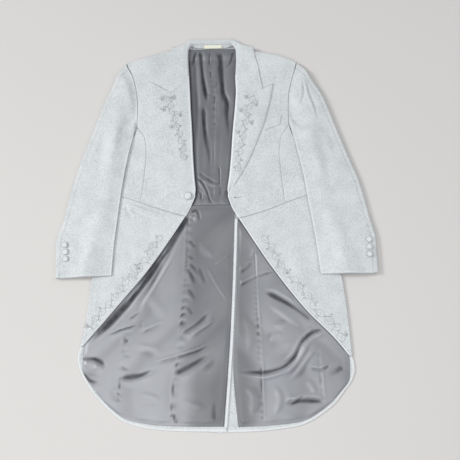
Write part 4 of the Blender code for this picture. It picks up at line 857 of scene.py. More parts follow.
def sleeve_turn(top, low, inwards):
    """Half turn from the upper face to the under face of one fold."""
    angle = np.radians(TURN)[None, :]
    blend = (1 - np.cos(angle)) / 2
    reach = np.minimum((top[2] - low[2]) / 2, RIDGE_WIDEST) * np.sin(angle) * (-1.0 if inwards else 1.0)
    x, y, z = (upper * (1 - blend) + under * blend for upper, under in zip(top[:3], low[:3]))
    return x + top[3][:, 0, :1] * reach, y + top[3][:, 0, 1:] * reach, z


print("cuff loft", through(SLEEVE_LOFT, 1.0), "mm")

# %% Both sleeves
def sleeve_grain(shape, width, length=0.58):
    """UV in metres: across the sleeve and down it, so the weave follows the sleeve."""
    return np.stack(np.meshgrid(np.linspace(0, width, shape[1]), np.linspace(0, length, shape[0])), axis=-1)


def make_sleeve(half):
    """Upper sleeve from the hindarm seam round the inner fold, then the under one from there round the outer."""
    rows = np.unique(np.concatenate([np.linspace(0, 0.16, 34), np.linspace(0.16, 0.97, 92), np.linspace(0.97, 1, 7)]))
    across, up_arm, below_head = eased(44, 0.5), (1 - rows[:, None]) * CUFF_SCALE, smooth(rows[:, None] / 0.2)
    gap, cuff_edge = SLEEVE_SEAM / SLEEVE_WIDTH, 0.8 * bell(up_arm, 1.3)
    to_forearm, to_hindarm = np.linspace(0, FOREARM - gap, 6), np.linspace(0, 1, 8)

    def part(hs, low_layer=False):
        return sleeve_part(half, rows, hs, low_layer)

    def sunk(sheet, from_seam):
        seam = 0.14 * bell(from_seam[None] * SLEEVE_WIDTH, 1.8) * smooth(rows[:, None] / 0.06)
        return sheet[0], sheet[1], sheet[2] - seam - cuff_edge

    top = sunk(part((HINDARM - gap) * (1 - across)), (HINDARM - gap) * across)
    turn = sleeve_turn(part([0]), part([0], True), True)
    low = part(to_forearm, True)
    grid = half.place(*joined(top, turn, low))
    # Painted highlight on the cuff's edge and along the inner fold; painted shade on the steep under side of the inner
    # turn, where the sleeve's shadow meets the body.
    edge_highlight = np.concatenate([bell((1 - across) * 140, 2.0), bell(TURN, 50), 0 * to_forearm])[None]
    under_edge_shade = np.concatenate([0 * across, smooth((TURN - 50) / 35), np.ones(len(to_forearm))])[None]
    marks = {"rim": np.maximum(bell(up_arm, 1.9), 0.5 * edge_highlight * below_head), "hollow": under_edge_shade * below_head}
    half_sheet(half, "sleeve_upper", grid, grain=sleeve_grain(grid.shape, 0.2), marks=marks)

    low = part(FOREARM + gap + (1 - FOREARM - gap) * np.linspace(0, 1, 26), True)
    turn = [points[:, ::-1] for points in sleeve_turn(part([1]), part([1], True), False)]
    back = sunk(part(1 - (1 - HINDARM - gap) * to_hindarm), (1 - HINDARM) * (1 - to_hindarm))
    grid = half.place(*joined(low, turn, back))
    half_sheet(half, "sleeve_under", grid, grain=sleeve_grain(grid.shape, 0.17))


for half in HALVES:
    make_sleeve(half)

# %% [markdown]
# ## Collar
# The collar's leaf lies on both fronts, rises over the shoulders and drops behind the neck, and its stand faces up
# inside. A cross-section is swept through stations along the neck, and each section's path blends from a flat roll
# to a standing neck.

# %% Collar
def collar_surface(half, stations, leaf_shares, stand_steps):
    """Leaf, roll and stand at each station: point = roll + outward direction * distance, with the leaf turned down
    behind the neck by a half cosine."""
    settings = (through(column(COLLAR, k), stations)[:, None] for k in range(1, 8))
    roll_x, roll_y, roll_z, angle, reach, leaf, stand = settings
    dx, dy = -np.cos(np.radians(angle)), np.sin(np.radians(angle))
    roll_y = roll_y + NECK_RISE * stand
    tucked_z = half.shell(roll_x + ROLL_RADIUS, roll_y) + REST + LAPEL
    roll_z = between(tucked_z, roll_z, smooth(stand / 0.4))
    gone = ROLL_RADIUS + leaf_shares[None] * (leaf - ROLL_RADIUS)
    run = np.maximum(reach - LEAF_DROP, 0.0)
    turn_length = math.pi / 2 * (LEAF_DROP + roll_z / 2)
    flat = (gone <= run) | (reach > 100.0)
    turn = np.where(flat, 0.0, np.clip((gone - run) / turn_length, 0, 1))
    dropping = run + np.minimum(LEAF_DROP, reach) * np.sin(math.pi * turn)
    out = np.where(flat, gone, np.where(turn < 1.0, dropping, run - (gone - run - turn_length)))
    x, y = roll_x + dx * out, roll_y + dy * out
    near = np.clip(1 - stations / 0.12, 0, 1)[:, None]
    end_x, end_y = gorge_lines[half.name]
    y = y + (np.interp(x, end_x, end_y) + 0.06 - roll_y[0]) * near
    inner_y = roll_y + (np.interp(roll_x, end_x, end_y) + 0.06 - roll_y[0]) * near
    on_body = half.shell(x, y) + LAPEL_REST + LAPEL
    on_body = between(on_body, lapel_face(half, x, y), near)
    top = between(roll_z, on_body, np.maximum(smooth((out - ROLL_RADIUS) / 10.0), near))
    top = np.where((stand > 0.02) & (turn > 0), np.minimum(top, roll_z), top)
    edge = (1 - leaf_shares[None]) * leaf
    z = top * (1 + np.cos(math.pi * turn)) / 2 + bead(edge) * (turn < 0.02) * smooth((0.5 - stations[:, None]) / 0.2)
    bends = np.radians(np.array([45.0, 90.0, 135.0, 180.0]))
    tucked = np.concatenate([
        np.stack([ROLL_RADIUS * (1 - np.sin(bends)), ROLL_RADIUS * (np.cos(bends) - 1)], axis=1),
        [[ROLL_RADIUS + WRAP_RETURN * 0.55, -2 * ROLL_RADIUS], [ROLL_RADIUS + WRAP_RETURN, -2 * ROLL_RADIUS]]])
    paths = (through(list(enumerate(values)), stand_steps)[None] for values in (*tucked.T, *np.transpose(STANDING)))
    t_out, t_z, s_out, s_drop = paths
    inner_out = t_out * (1 - stand) + s_out * (1 + NECK_RISE / -STANDING[-1][0]) * stand
    inner_z = roll_z + t_z * (1 - stand) - s_drop * stand
    return joined((x, y, z), (roll_x + dx * inner_out, inner_y + dy * inner_out, inner_z))


def make_collar():
    """Both halves' surfaces, the right one mirrored, joined at the centre back where x is 0."""
    shares, steps = 1 - eased(44, 0.6) * 0.97, np.linspace(0, 5, 26)
    stations = np.concatenate([[0.0, 0.0015, 0.005], np.linspace(0.012, 0.12, 9), np.linspace(0.12, 1.0, 76)[1:]])
    right, left = (collar_surface(half, stations, shares, steps) for half in HALVES)
    right[0] = -right[0]
    right[0][-1] = 0.0
    cloth_piece("cloth_collar", to_model(*joined(right, [part[::-1][1:] for part in left], down=True)), LAPEL, "cloth",
                node="collar")


make_collar()

# %% [markdown]
# ## Lining
# Satin shows every fold as a bright band beside a dark one, so most of what the eye sees in the opening is this
# sheet. It lies two millimetres loose over the back, so hollows can sink as well as ridges stand. Seams pucker:
# a row of short waves that dies out a few millimetres from the line.

# %% Puckers, and folds of the upper lining
def pucker(x, y, pitch, height, width, side, *path):
    """Waves along a seam: height * sin(run/pitch), under a bell across it that side shifts, with a ridge beside the
    seam and a groove on it."""
    line = along_points(np.reshape(path, (-1, 2)), np.linspace(0, 1, 60))
    order = np.argsort(line[:, 1])
    seam_x = np.interp(y, line[order, 1], line[order, 0])
    inside = smooth((y - line[:, 1].min()) / 25) * smooth((line[:, 1].max() - y) / 25)
    away = x - seam_x
    beat = np.sin(2 * math.pi * (y / pitch + 0.35 * np.sin(y / 31.0)) + 0.5 * np.sin(y / 13.0))
    waves = height * (0.55 + 0.45 * np.sin(y / 47.0 + 1.0)) * beat * bell(away - side * width, width)
    ridge = 1.5 * bell(away - 4.2, 2.4) - 1.9 * bell(away, 1.25)
    return (waves + ridge * (0.7 + 0.3 * np.sin(y / 23.0))) * inside


SATIN_LEAN = 0.3
BACK_SEAM_PUCKER = (17, 0.7, 6, 0, 2, 478, 4, 300, -2, 44)
UPPER_FOLDS = (
    (8, -1.7, 0, 0, 0.08, 0.5, -52, 480, -52, 400, -48, 310, -42, 200, -38, 120),
    (4.5, 1.8, 0, 0, 0.1, 0.4, -37, 478, -37, 400, -34, 330, -30, 262),
    (7.5, -4.6, 0.2, 0.5, 0.12, 0.2, -36, 484, -32, 430, -26, 378, -20, 345, -14, 318),
    (8.5, -4, 0.2, 0.4, 0.15, 0.6, -30, 322, -27, 270, -20, 210, -13, 165, -8, 110),
    (8.5, -4.4, -0.5, 0.5, 0.08, 0.45, 23, 484, 26, 420, 30, 352, 40, 318, 38, 285, 42, 240, 44, 190),
    (5, 1.7, 0, 0.2, 0.3, 0.4, 15, 420, 17, 380, 16, 320, 20, 240),
    (4.5, -2.8, 0, 0.5, 0.1, 0.3, 60, 478, 47, 440, 36, 424),
    (4.5, -2.4, 0, 0.4, 0.1, 0.4, -44, 482, -54, 448, -58, 430), (4, -2.2, 0, 0.6, 0.2, 0.3, 12, 385, 8, 372, 2, 366),
    (4, -2.4, 0, 0.6, 0.2, 0.3, 10, 348, 7, 338, 4, 322), (3.2, -1.6, 0, 0.5, 0.3, 0.3, -14, 352, -6, 346, 2, 350),
    (3.2, -1.8, 0, 0.5, 0.3, 0.3, 6, 268, 7, 256, 5, 244),
    (3.6, -3.6, 0.3, 0.7, 0.03, 0.1, -52, 108, -34, 96, -20, 72, -13, 48, -6, 33),
    (2.8, 2.4, 0, 0, 0.03, 0.2, -50, 102, -36, 90, -24, 68, -18, 50),
    (4, -1.8, 0, 0.6, 0.1, 0.2, -40, 122, -18, 104, 0, 92, 18, 88), (5, 2.4, 0, 0.2, 0.2, 0.3, -26, 98, -8, 86, 10, 80),
    (2.6, -2.8, 0, 0.5, 0.2, 0.15, 13, 142, 16, 115, 15, 82), (4.5, -2, 0, 0.4, 0.2, 0.3, 16, 86, 18, 70, 14, 52),
    (3.6, -2.6, 0, 0.6, 0.2, 0.3, -42, 72, -34, 60, -33, 42), (4, -1.6, 0, 0.5, 0.2, 0.3, 30, 74, 30, 56, 38, 42),
    (7, 1.4, 0, 0.3, 0.4, 0.4, 38, 190, 34, 150, 28, 112), (3.6, -2.4, 0, 0.6, 0.2, 0.3, -4, 480, -9, 448, -3, 430),
    (3.6, 1.6, 0, 0.5, 0.2, 0.3, 6, 474, 15, 442, 9, 424), (3.2, -2, 0, 0.6, 0.2, 0.3, -8, 420, -4, 408, -7, 396))


def loose(height):
    """Soft floor, (h + sqrt(h^2 + 0.4))/2, so a hollow flattens out where it meets the cloth below."""
    return (height + np.sqrt(height ** 2 + 0.4)) / 2


def light_marks(folds, strength=1.0):
    """Painted shade in the folds' hollows and painted highlights on their crests, each strength * (1 - exp(-(h/w)^2))
    of the folds' height below or above the sheet.
    """
    return {"hollow": strength * (1 - bell(np.minimum(folds, 0), 2.0)),
            "crest": 1 - bell(np.maximum(folds, 0), 2.1)}


def make_lining_back():
    """Grid of shares of the width at each level, x = share * (front edge + tuck), at the height of the back plus the
    loose folds, which fade under the fronts."""
    levels = np.concatenate([np.linspace(LINING_WAIST_Y + SEAM / 2, 60, 16), np.linspace(60, LINING_TOP_Y, 170)[1:]])
    a = (2 * eased(66, 0.2) - 1)[None]
    y = np.repeat(levels[:, None], a.shape[1], axis=1)
    neck = smooth((y - 440) / 40)
    edge = np.where(a < 0, RIGHT.front_edge(y), LEFT.front_edge(y))
    x = a * (edge + LINING_TUCK - 20.0 * neck)
    window = smooth((edge - 5 - np.abs(x)) / 12) * smooth((485 - y) / 9) * smooth((y - 32) / 10)
    base = LEAF_LIFT * smooth((y - LEAF_FOOT_Y) / 16) + CLOTH + LINING_REST + LINING
    folds = 0.45 * np.sin(x / 3.4 + 1.5 * np.sin(y / 66.0)) + folded(x, y, UPPER_FOLDS, SATIN_LEAN)
    folds = folds + pucker(x, y, *BACK_SEAM_PUCKER)
    z = base + loose(2.0 + folds) * window + 0.7 * bell(y - 35.0, 2.2)
    marks = light_marks(folds * smooth((485 - y) / 8))
    # Painted shadow on the satin along both front edges, where the fronts lie over it.
    gap = edge - 1.5 - np.abs(x)
    line = np.where(x < 0, 0.85, 0.6) * bell(np.maximum(gap, 0), np.where(x < 0, 3.4, 2.2))
    marks["hollow"] = np.maximum(marks["hollow"], line * (1 - neck))
    cloth_piece("satin_back", to_model(x, y, z), LINING, "lining", node="lining_back", marks=marks)


make_lining_back()

# %% Folds of the skirt linings, in outward x
SATIN_FOLDS = {
    "right": (
        (12.5, -4.6, -0.2, 0, 0.04, 0.25, 66, 4, 120, -90, 181, -176, 248, -256, 300, -310, 326, -344),
        (2, 2.8, 0, 0, 0.2, 0.2, 108, -66, 166, -148, 232, -230),
        (6, 3.6, 0.3, 0.5, 0.2, 0.25, 92, -83, 141, -166, 196, -258),
        (6, 3, 0, 0.5, 0.2, 0.25, 109, -83, 165, -169, 220, -249), (4, -2, 0, 0.7, 0.1, 0.4, 63, -63, 46, -84),
        (4, -1.8, 0, 0.7, 0.1, 0.4, 66, -101, 51, -114), (5, -2.8, 0.2, 0.9, 0.1, 0.4, 67, -134, 58, -152, 47, -180),
        (4.5, -2.4, 0.2, 0.9, 0.1, 0.4, 67, -184, 58, -198, 47, -218), (4, -2, 0, 0.8, 0.1, 0.4, 67, -232, 55, -254),
        (4.5, -2, 0, 0.7, 0.15, 0.4, 63, -122, 50, -136, 34, -157),
        (5, -2, 0, 0.7, 0.3, 0.4, 42, -126, 30, -154, 18, -184),
        (2.6, 2, 0, 0.5, 0.2, 0.3, 22, -127, -7, -181, -38, -226), (3, 1.5, 0, 0.5, 0.2, 0.3, 1, -127, -45, -94),
        (8, -3.2, 0.2, 1, 0.05, 0.4, 79, -295, 43, -272, 2, -233),
        (4, 2.6, 0, 0.5, 0.15, 0.4, 60, -302, 32, -284, -4, -262),
        (4.2, 3.2, 0.4, 1, 0.15, 0.35, 146, -360, 83, -343, 43, -331, 3, -312),
        (9, -3, 0, 0.8, 0.08, 0.4, 98, -391, 59, -372, 3, -339),
        (6, -1.8, 0, 0.7, 0.3, 0.4, 30, -388, 6, -366, -10, -352),
        (4, -3, 0.2, 1.1, 0.1, 0.3, 262, -297, 231, -284, 191, -273),
        (4, -2.2, 0, 0.8, 0.2, 0.3, 212, -259, 198, -250, 186, -240),
        (4, 2.8, 0, 1, 0.15, 0.3, 182, -287, 156, -276, 127, -263), (3, 1.8, 0, 0.8, 0.2, 0.3, 178, -262, 177, -284),
        (8, -3, 0, 0.9, 0.2, 0.3, 236, -398, 188, -394, 141, -375), (4.5, -2.2, 0, 0.9, 0.2, 0.3, 224, -300, 214, -316),
        (4.5, -2.2, 0, 0.9, 0.2, 0.3, 224, -340, 208, -350), (4.5, -2, 0, 0.9, 0.2, 0.3, 228, -372, 212, -380),
        (5, 2, 0, 0.8, 0.2, 0.3, 246, -418, 238, -436, 222, -448),
        (9, 1.8, 0, 0.6, 0.3, 0.4, 190, -436, 160, -440, 130, -452),
        (12, 1.8, 0, 0.5, 0.3, 0.4, 84, -452, 54, -462, 20, -470),
        (5, -1.4, 0, 0.3, 0.4, 0.3, 2, -452, 4, -480, 2, -504),
        (4, -1.8, 0, 0.8, 0.3, 0.1, 106, -478, 98, -492, 94, -504),
        (10, 1.6, 0, 0.4, 0.4, 0.4, 40, -60, 20, -90, -6, -110),
        (4, -2.8, 0, 0.9, 0.1, 0.2, 59, 10, 48, 17, 40, 8, 37, -14), (4, 2, 0, 0.5, 0.2, 0.3, 66, 2, 50, -2, 46, -20),
        (9, 1.6, 0, 0.5, 0.3, 0.4, 200, -320, 150, -330, 120, -352),
        (13, 1.8, 0, 0.3, 0.4, 0.4, 170, -200, 140, -230, 120, -262),
        (7, -3.4, 0, 0.9, 0.1, 0.4, 330, -352, 300, -352, 276, -362, 262, -384),
        (7, -2.8, 0, 0.8, 0.1, 0.4, 326, -384, 300, -404, 272, -410),
        (9, 2.8, 0, 0.3, 0.3, 0.4, 312, -370, 290, -374, 268, -366)),
    "left": (
        (5.5, -2, 0, 0.8, 0.2, 0.3, 64, -149, 84, -136, 102, -117),
        (3.8, -2.8, 0.3, 1.1, 0.1, 0.2, 64, -182, 105, -161, 151, -147),
        (9, -3.4, 0.2, 0.9, 0.2, 0.08, 118, -195, 148, -210, 196, -238, 238, -271),
        (9, 2.4, 0, 0, 0.3, 0.3, 130, -226, 170, -254, 212, -286),
        (6.5, -3.8, 0.1, 1.2, 0.05, 0.3, 266, -290, 233, -301, 212, -320, 190, -358, 157, -382, 110, -391, 47, -386),
        (6, 3.6, 0.3, 0.4, 0.1, 0.3, 240, -284, 208, -310, 186, -345, 160, -366),
        (6, 3.4, 0.2, 0.5, 0.15, 0.35, 243, -332, 209, -374, 172, -416),
        (5, 2.8, 0, 0.5, 0.15, 0.35, 228, -322, 193, -373, 158, -405),
        (4, -2.8, 0, 1, 0.2, 0.2, 228, -381, 251, -389, 266, -384, 278, -374),
        (6.5, -3, 0, 0.9, 0.15, 0.2, 165, -464, 212, -458, 262, -461),
        (4, 2.2, 0, 0.7, 0.2, 0.3, 212, -438, 189, -452, 170, -468),
        (8, -1.7, 0, 0.5, 0.3, 0.2, 272, -405, 292, -392, 311, -381),
        (7, 1.8, 0, 0.8, 0.3, 0.3, 142, -280, 164, -282, 186, -275),
        (7, 1.6, 0, 0.7, 0.3, 0.3, 132, -318, 150, -306, 168, -302),
        (10, 1.6, 0, 0.3, 0.4, 0.4, 70, -250, 82, -300, 78, -350),
        (9, 1.8, 0, 0.5, 0.3, 0.3, 70, -420, 88, -450, 84, -490),
        (8, 1.8, 0, 0.5, 0.3, 0.3, 140, -420, 150, -450, 138, -490),
        (7, 1.6, 0, 0.5, 0.3, 0.3, 216, -410, 232, -430, 236, -446),
        (6, 1.4, 0, 0.5, 0.3, 0.3, 110, -60, 100, -90, 86, -112),
        (12, 1.8, 0, 0.2, 0.4, 0.4, 200, -318, 168, -330, 130, -350)),
}
SATIN_SEAMS = {  # pitch, height, width and shift of the puckers, then the seam's points
    "right": (
        (21, 1.5, 7, -0.6, 67, -2, 71, -122, 83, -260, 90, -353, 98, -383, 109, -505),
        (19, 1.5, 7, -0.4, 222, -286, 225, -343, 236, -462)),
    "left": (
        (14, 0.9, 5, -0.2, 103, -85, 105, -239, 109, -356, 110, -508), (18, 1, 5, 0, 251, -325, 253, -397, 256, -462)),
}
print("satin folds:", {name: len(folds) for name, folds in SATIN_FOLDS.items()})

# %% Skirt linings
HEM_SIDE_BAND, LINING_HEM_Y, LOW_SHARE = 7.5, -512.0, 0.34


def hem_width(x):
    """Width of the cloth band inside the hem: narrow at the side, full by the vent."""
    return HEM_SIDE_BAND + (HEM_BAND - HEM_SIDE_BAND) * smooth((260.0 - x) / 200.0)


def make_lining_skirt(half):
    """Coons patch between vent, hem, side and waist, at the height of the back plus the loose folds, which fade
    towards its edges and under the skirt."""

    def inner_rule(y):
        return VENT_FACING - through(VENT_EDGE, y) if half is RIGHT else through(UNDER_FACING, y) + 1.0

    def outer_rule(y):
        opening = np.where(y < half.waist_y, half.cutaway(y), half.front_edge(y))
        return np.minimum(opening + LINING_TUCK, fold_start(half, y) - HEM_SIDE_BAND + 2)

    up, across = eased(196, 0.25), eased(84, 0.3)
    foot, top_y = half.fold_foot - 14.0, LINING_WAIST_Y - SEAM / 2
    corner = np.array(HEM_SIDE[half.name][-1]) + np.array((-0.72, 0.72)) * HEM_SIDE_BAND
    side_points = [tuple(corner), *[(x - HEM_SIDE_BAND, y) for x, y in HEM_SIDE[half.name][-2:1:-1]],
                   (float(outer_rule(foot)), foot)]
    low = up < LOW_SHARE
    hem_side = along_points(side_points, up[low] / LOW_SHARE)
    high_y = foot + (top_y - foot) * (up[~low] - up[~low][0]) / (1 - up[~low][0])
    side = np.vstack([hem_side, plan(outer_rule(high_y), high_y)])
    inner_end = float(inner_rule(LINING_HEM_Y))
    foot_points = [(x, y + hem_width(x)) for x, y in HEM_FOOT[half.name][1:] if inner_end + 30 < x < corner[0] - 20]
    foot_points.append((inner_end, float(half.hem_foot(inner_end)) + HEM_BAND))
    bottom = along_points([tuple(corner)] + foot_points, across)[::-1]
    inner = ruled(inner_rule, bottom[0], top_y, up)
    top = plan(between(inner[-1, 0], side[-1, 0], across), np.full(len(across), top_y))
    grid = coons(bottom, top, inner, side)
    x, y = grid[..., 0], grid[..., 1]
    covered = smooth((half.cutaway(y) - 5 - x) / 12) + (1 - smooth((y - half.fold_foot + 10) / 30))
    from_vent, from_hem = x - inner_rule(y) - 1, from_edges(grid, "bottom")
    window = np.clip(covered, 0, 1) * smooth((26 - y) / 14) * smooth(from_vent / 10)
    window = window * smooth((from_hem - 1) / 14) * smooth((from_edges(grid, "right") - 1) / 12)
    ripple = 0.8 * np.sin((x + 0.5 * y) / 17.0 + 2.0 * np.sin(y / 50.0))
    folds = folded(x, y, SATIN_FOLDS[half.name], SATIN_LEAN) + ripple
    shade_window = smooth(from_vent / 8) * smooth(from_hem / 8) * smooth((30 - y) / 10)
    for seam in SATIN_SEAMS[half.name]:
        folds = folds + pucker(x, y, *seam)
    hem_wave = 0.7 * np.sin(x / 9.0 + 2 * np.sin(y / 40.0)) * bell(from_hem - 12, 9)
    lap = (CLOTH + SEAM) * smooth((120 - x) / 75) * np.clip((46 - y) / 30, 0, 1) if half is RIGHT else 0.0
    z = lap + CLOTH + LINING_REST + LINING + loose(2.0 + folds + hem_wave) * window
    marks = light_marks(folds * shade_window, 0.97)
    # Painted shadow on the satin along the cutaway edge.
    line = 0.6 * bell(np.maximum(half.cutaway(y) - 1.5 - x, 0), 2.6) * smooth((y - half.fold_foot) / 20)
    marks["hollow"] = np.maximum(marks["hollow"], line * smooth((half.waist_y - y) / 6))
    cloth_piece(f"satin_skirt_{half.name}", half.place(x, y, z), LINING, "lining", half is RIGHT,
                node=f"lining_skirt_{half.name}", marks=marks)


for half in HALVES:
    make_lining_skirt(half)

# %% [markdown]
# ## Hem band and vent facing
# Inside the hem the cloth turns up in a pale rounded band. It is one profile, a low bead that goes round the raw
# edge, carried along the hem's line; the vent's edge has a narrower one.

# %% Carry a band along an edge
def carry_band(half, line, profile, name, lift, width=1.0):
    """Point = line + inward normal * d * width, at height z + lift, for each (d, z) of the profile."""
    tangent = np.gradient(line, axis=0)
    tangent /= np.linalg.norm(tangent, axis=1)[:, None]
    inward = np.stack([tangent[:, 1], -tangent[:, 0]], axis=1)
    d, z = profile[:, 0][None] * np.reshape(width, (-1, 1)), profile[:, 1][None]
    x = line[:, :1] + inward[:, :1] * d
    y = line[:, 1:] + inward[:, 1:] * d
    # The rim mark paints a highlight along the band's crest.
    return cloth_piece(name, half.place(x, y, z + lift(x, y)), BAND_WALL, "cloth", half is RIGHT,
                       marks={"rim": 0.7 * bell(np.abs(profile[:, 0]) - 2.2, 3.0)[None]})


HEM_PROFILE = np.array([(-0.4, 0.5), (-0.5, 1.3), (-0.1, 2.1), (0.8, 2.7), (2.2, 2.95), (4.5, 2.9), (7.0, 2.65),
                        (9.0, 2.3), (10.6, 2.0), (12.4, 1.95), (14.0, 1.95)])
VENT_PROFILE = np.array([(0.4, 0.6), (0.5, 1.4), (0.1, 2.3), (-0.8, 2.8), (-2.5, 3.0), (-5.0, 2.8), (-7.0, 2.3),
                         (-9.0, 2.0)])
BAND_END = {"right": (-VENT_EDGE[0][1], -523.9), "left": (3.0, -525.9)}
for half in HALVES:
    foot = [point for point in HEM_FOOT[half.name][1:] if point[0] > 40]
    first = (float(fold_start(half, half.fold_foot)) + 2, half.fold_foot)
    line = along_points([first, *HEM_SIDE[half.name], *foot, BAND_END[half.name]], np.linspace(0, 1, 240))
    lift = half.floor if half is RIGHT else lambda x, y: 0.0 * x
    carry_band(half, line, HEM_PROFILE, f"hem_band_{half.name}", lift, hem_width(line[:, 0]) / HEM_BAND)
vent_y = np.linspace(-516.0, -8.0, 150)
vent_line = plan(-through(VENT_EDGE, vent_y), vent_y)[::-1]
carry_band(RIGHT, vent_line, VENT_PROFILE, "vent_facing", RIGHT.floor).data.flip_normals()

# %% [markdown]
# ## Cords, stitches and embroidery
# The embroidery is a couched cord in the coat's own colour: stems, curls, leaves and small flowers. Each line is a
# short list of points or a curl, and a thin round tube is carried along it on the cloth's own height.

# %% Tubes on a surface
def tube_mesh(lines, radius, sides=6):
    """Rings of points round each line, p + r(cos a * side + sin a * up), joined by quads, with closed ends."""
    points, faces, start = [], [], 0
    for line in lines:
        tangent = np.gradient(line, axis=0)
        tangent /= np.linalg.norm(tangent, axis=1)[:, None] + 1e-9
        side = np.cross(tangent, (0.0, 0.0, 1.0))
        side /= np.linalg.norm(side, axis=1)[:, None] + 1e-9
        up = np.cross(side, tangent)
        a = np.linspace(0, 2 * math.pi, sides, endpoint=False)
        share = np.linspace(0, 1, len(line))
        r = radius * np.sqrt(smooth(share * len(line) / 4 + 0.3) * smooth((1 - share) * len(line) / 4 + 0.3))
        spokes = np.cos(a)[None, :, None] * side[:, None] + np.sin(a)[None, :, None] * up[:, None]
        ring = line[:, None] + r[:, None, None] * spokes
        index = start + np.arange(len(line) * sides).reshape(len(line), sides)
        after = np.roll(index, -1, axis=1)
        quads = np.stack([index[:-1], after[:-1], after[1:], index[1:]], axis=-1).reshape(-1, 4)
        faces += quads.tolist() + [index[0][::-1].tolist(), index[-1].tolist()]
        points.append(ring.reshape(-1, 3))
        start += len(line) * sides
    return np.vstack(points), faces


def curl(x, y, radius, start, turns):
    """Spiral: the radius is (1 - 0.8 t^0.7) of the first while the angle goes through the turns."""
    t = np.linspace(0, 1, max(14, int(abs(turns) * 30)))
    angle = math.radians(start) + 2 * math.pi * turns * t
    r = radius * (1 - 0.8 * t ** 0.7)
    return np.stack([x + r * np.cos(angle), y + r * np.sin(angle)], axis=1)


def leaf(x, y, heading, length):
    """Pointed oval: half width length * 0.24 * sin(pi t)^0.8, there and back, with its heading in degrees."""
    t = np.linspace(0, 1, 12)
    half_width = 0.24 * length * np.sin(math.pi * t) ** 0.8
    cos, sin = math.cos(math.radians(heading)), math.sin(math.radians(heading))
    along = np.concatenate([t, t[::-1]]) * length
    aside = np.concatenate([half_width, -half_width[::-1]])
    return np.stack([x + along * cos - aside * sin, y + along * sin + aside * cos], axis=1)


def blossom(x, y, radius, petals=5):
    """Rosette: r = radius * (0.68 + 0.32 cos(petals * a))."""
    a = np.linspace(0, 2 * math.pi, 46)
    r = radius * (0.68 + 0.32 * np.cos(petals * a))
    return np.stack([x + r * np.cos(a), y + r * np.sin(a)], axis=1)


def bearing(step):
    """Heading of a step in the plane, in degrees."""
    return math.degrees(math.atan2(step[1], step[0]))


print("a curl has", len(curl(0, 0, 9, 0, 1.2)), "points")

# %% Layout of the lapels' and skirts' embroidery, in outward x
def vine(points, count, swings, seed, blossoms, steps=40):
    """Scrolling stem: it swings by w * sin(pi * count * s) about a line, w going from one swing to the other. Each
    arch goes on into a spiral inside itself, with a leaf and a small curl on its outer side."""
    shares = np.linspace(0, 1, steps * count + 1)
    middle = along_points(points, shares)
    heading = np.gradient(middle, axis=0)
    heading /= np.linalg.norm(heading, axis=1)[:, None]
    normal = np.stack([-heading[:, 1], heading[:, 0]], axis=1)
    swing = between(*swings, shares) * (1 + 0.25 * np.sin(6 * shares + seed))
    phase = math.pi * (count * shares + 0.16 * np.sin(8 * shares + 2 * seed))
    line = middle + normal * (swing * np.sin(phase))[:, None]
    lines, spots = [line], []
    for i in range(count):
        at, end, side = steps * i + steps // 2, steps * (i + 1), 1 - 2 * (i % 2)
        centre = middle[at] + normal[at] * side * swing[at] * 0.1 * math.sin(2.1 * i + seed)
        first = line[end] - centre
        size = float(np.hypot(*first))
        lines.append(curl(*centre, size, bearing(first), -side * (1.35 + 0.25 * math.sin(1.9 * i + seed))))
        outer = line[at] + normal[at] * side * size * 0.34
        lines.append(curl(*outer, size * 0.3, bearing(line[at] - outer), side * 1.1))
        away = bearing(heading[end]) - side * (70 + 20 * math.sin(1.7 * i + seed))
        lines.append(leaf(*line[end], away, size * (0.55 + 0.12 * math.sin(1.3 * i))))
        if i % 3 == 1:
            spots.append(tuple(outer))
    for share, aside, r in blossoms:
        at = int((len(shares) - 1) * share)
        centre = middle[at] + normal[at] * aside
        lines += [blossom(*centre, r), blossom(*centre, r * 0.45, 3)]
        lines += [leaf(*centre, math.degrees(seed) + 72 * k, 1.9 * r) for k in (0, 1)]
        spots.append(tuple(centre))
    return lines, spots


def skirt_path(half):
    """The stem's points beside the cutaway edge, kept inside the side fold."""
    y = np.linspace(half.waist_y - 46, half.fold_foot + 34, 9)
    x = np.minimum(half.cutaway(y) + 29 + 4 * np.sin(np.arange(9) * 1.9), half.fold(y) - 24)
    return list(zip(x.tolist(), y.tolist()))


LAPEL_VINES = {  # the line's points, arches, first and last swing, seed, and share, offset and radius of each blossom
    "right": (
        ((76, 152), (82, 196), (92, 236), (106, 276), (118, 318), (126, 340)), 9, (4.5, 10), 0.4,
        ((0.66, 19, 5.5), (0.8, -19, 6), (0.93, 17, 5.5), (0.97, -15, 5), (0.52, -14, 4))),
    "left": (
        ((62, 118), (68, 160), (78, 205), (86, 252), (98, 300), (110, 334)), 10, (4, 9.5), 1.1,
        ((0.64, -18, 5.5), (0.78, 18, 6), (0.9, -17, 5.5), (0.96, 15, 5), (0.5, 13, 4))),
}
SKIRT_VINE = (13, (6.5, 9.5))
SKIRT_BLOSSOMS = ((0.35, 0, 3.5), (0.96, 16, 5.0))
CORD = {"lapel": 0.66 * MM, "skirt": 0.5 * MM}


def on_cloth(half, line, face, lift=CORD_LIFT):
    """A flat line put on the cloth, in metres."""
    return half.place(line[:, 0], line[:, 1], face(line[:, 0], line[:, 1]) + lift)


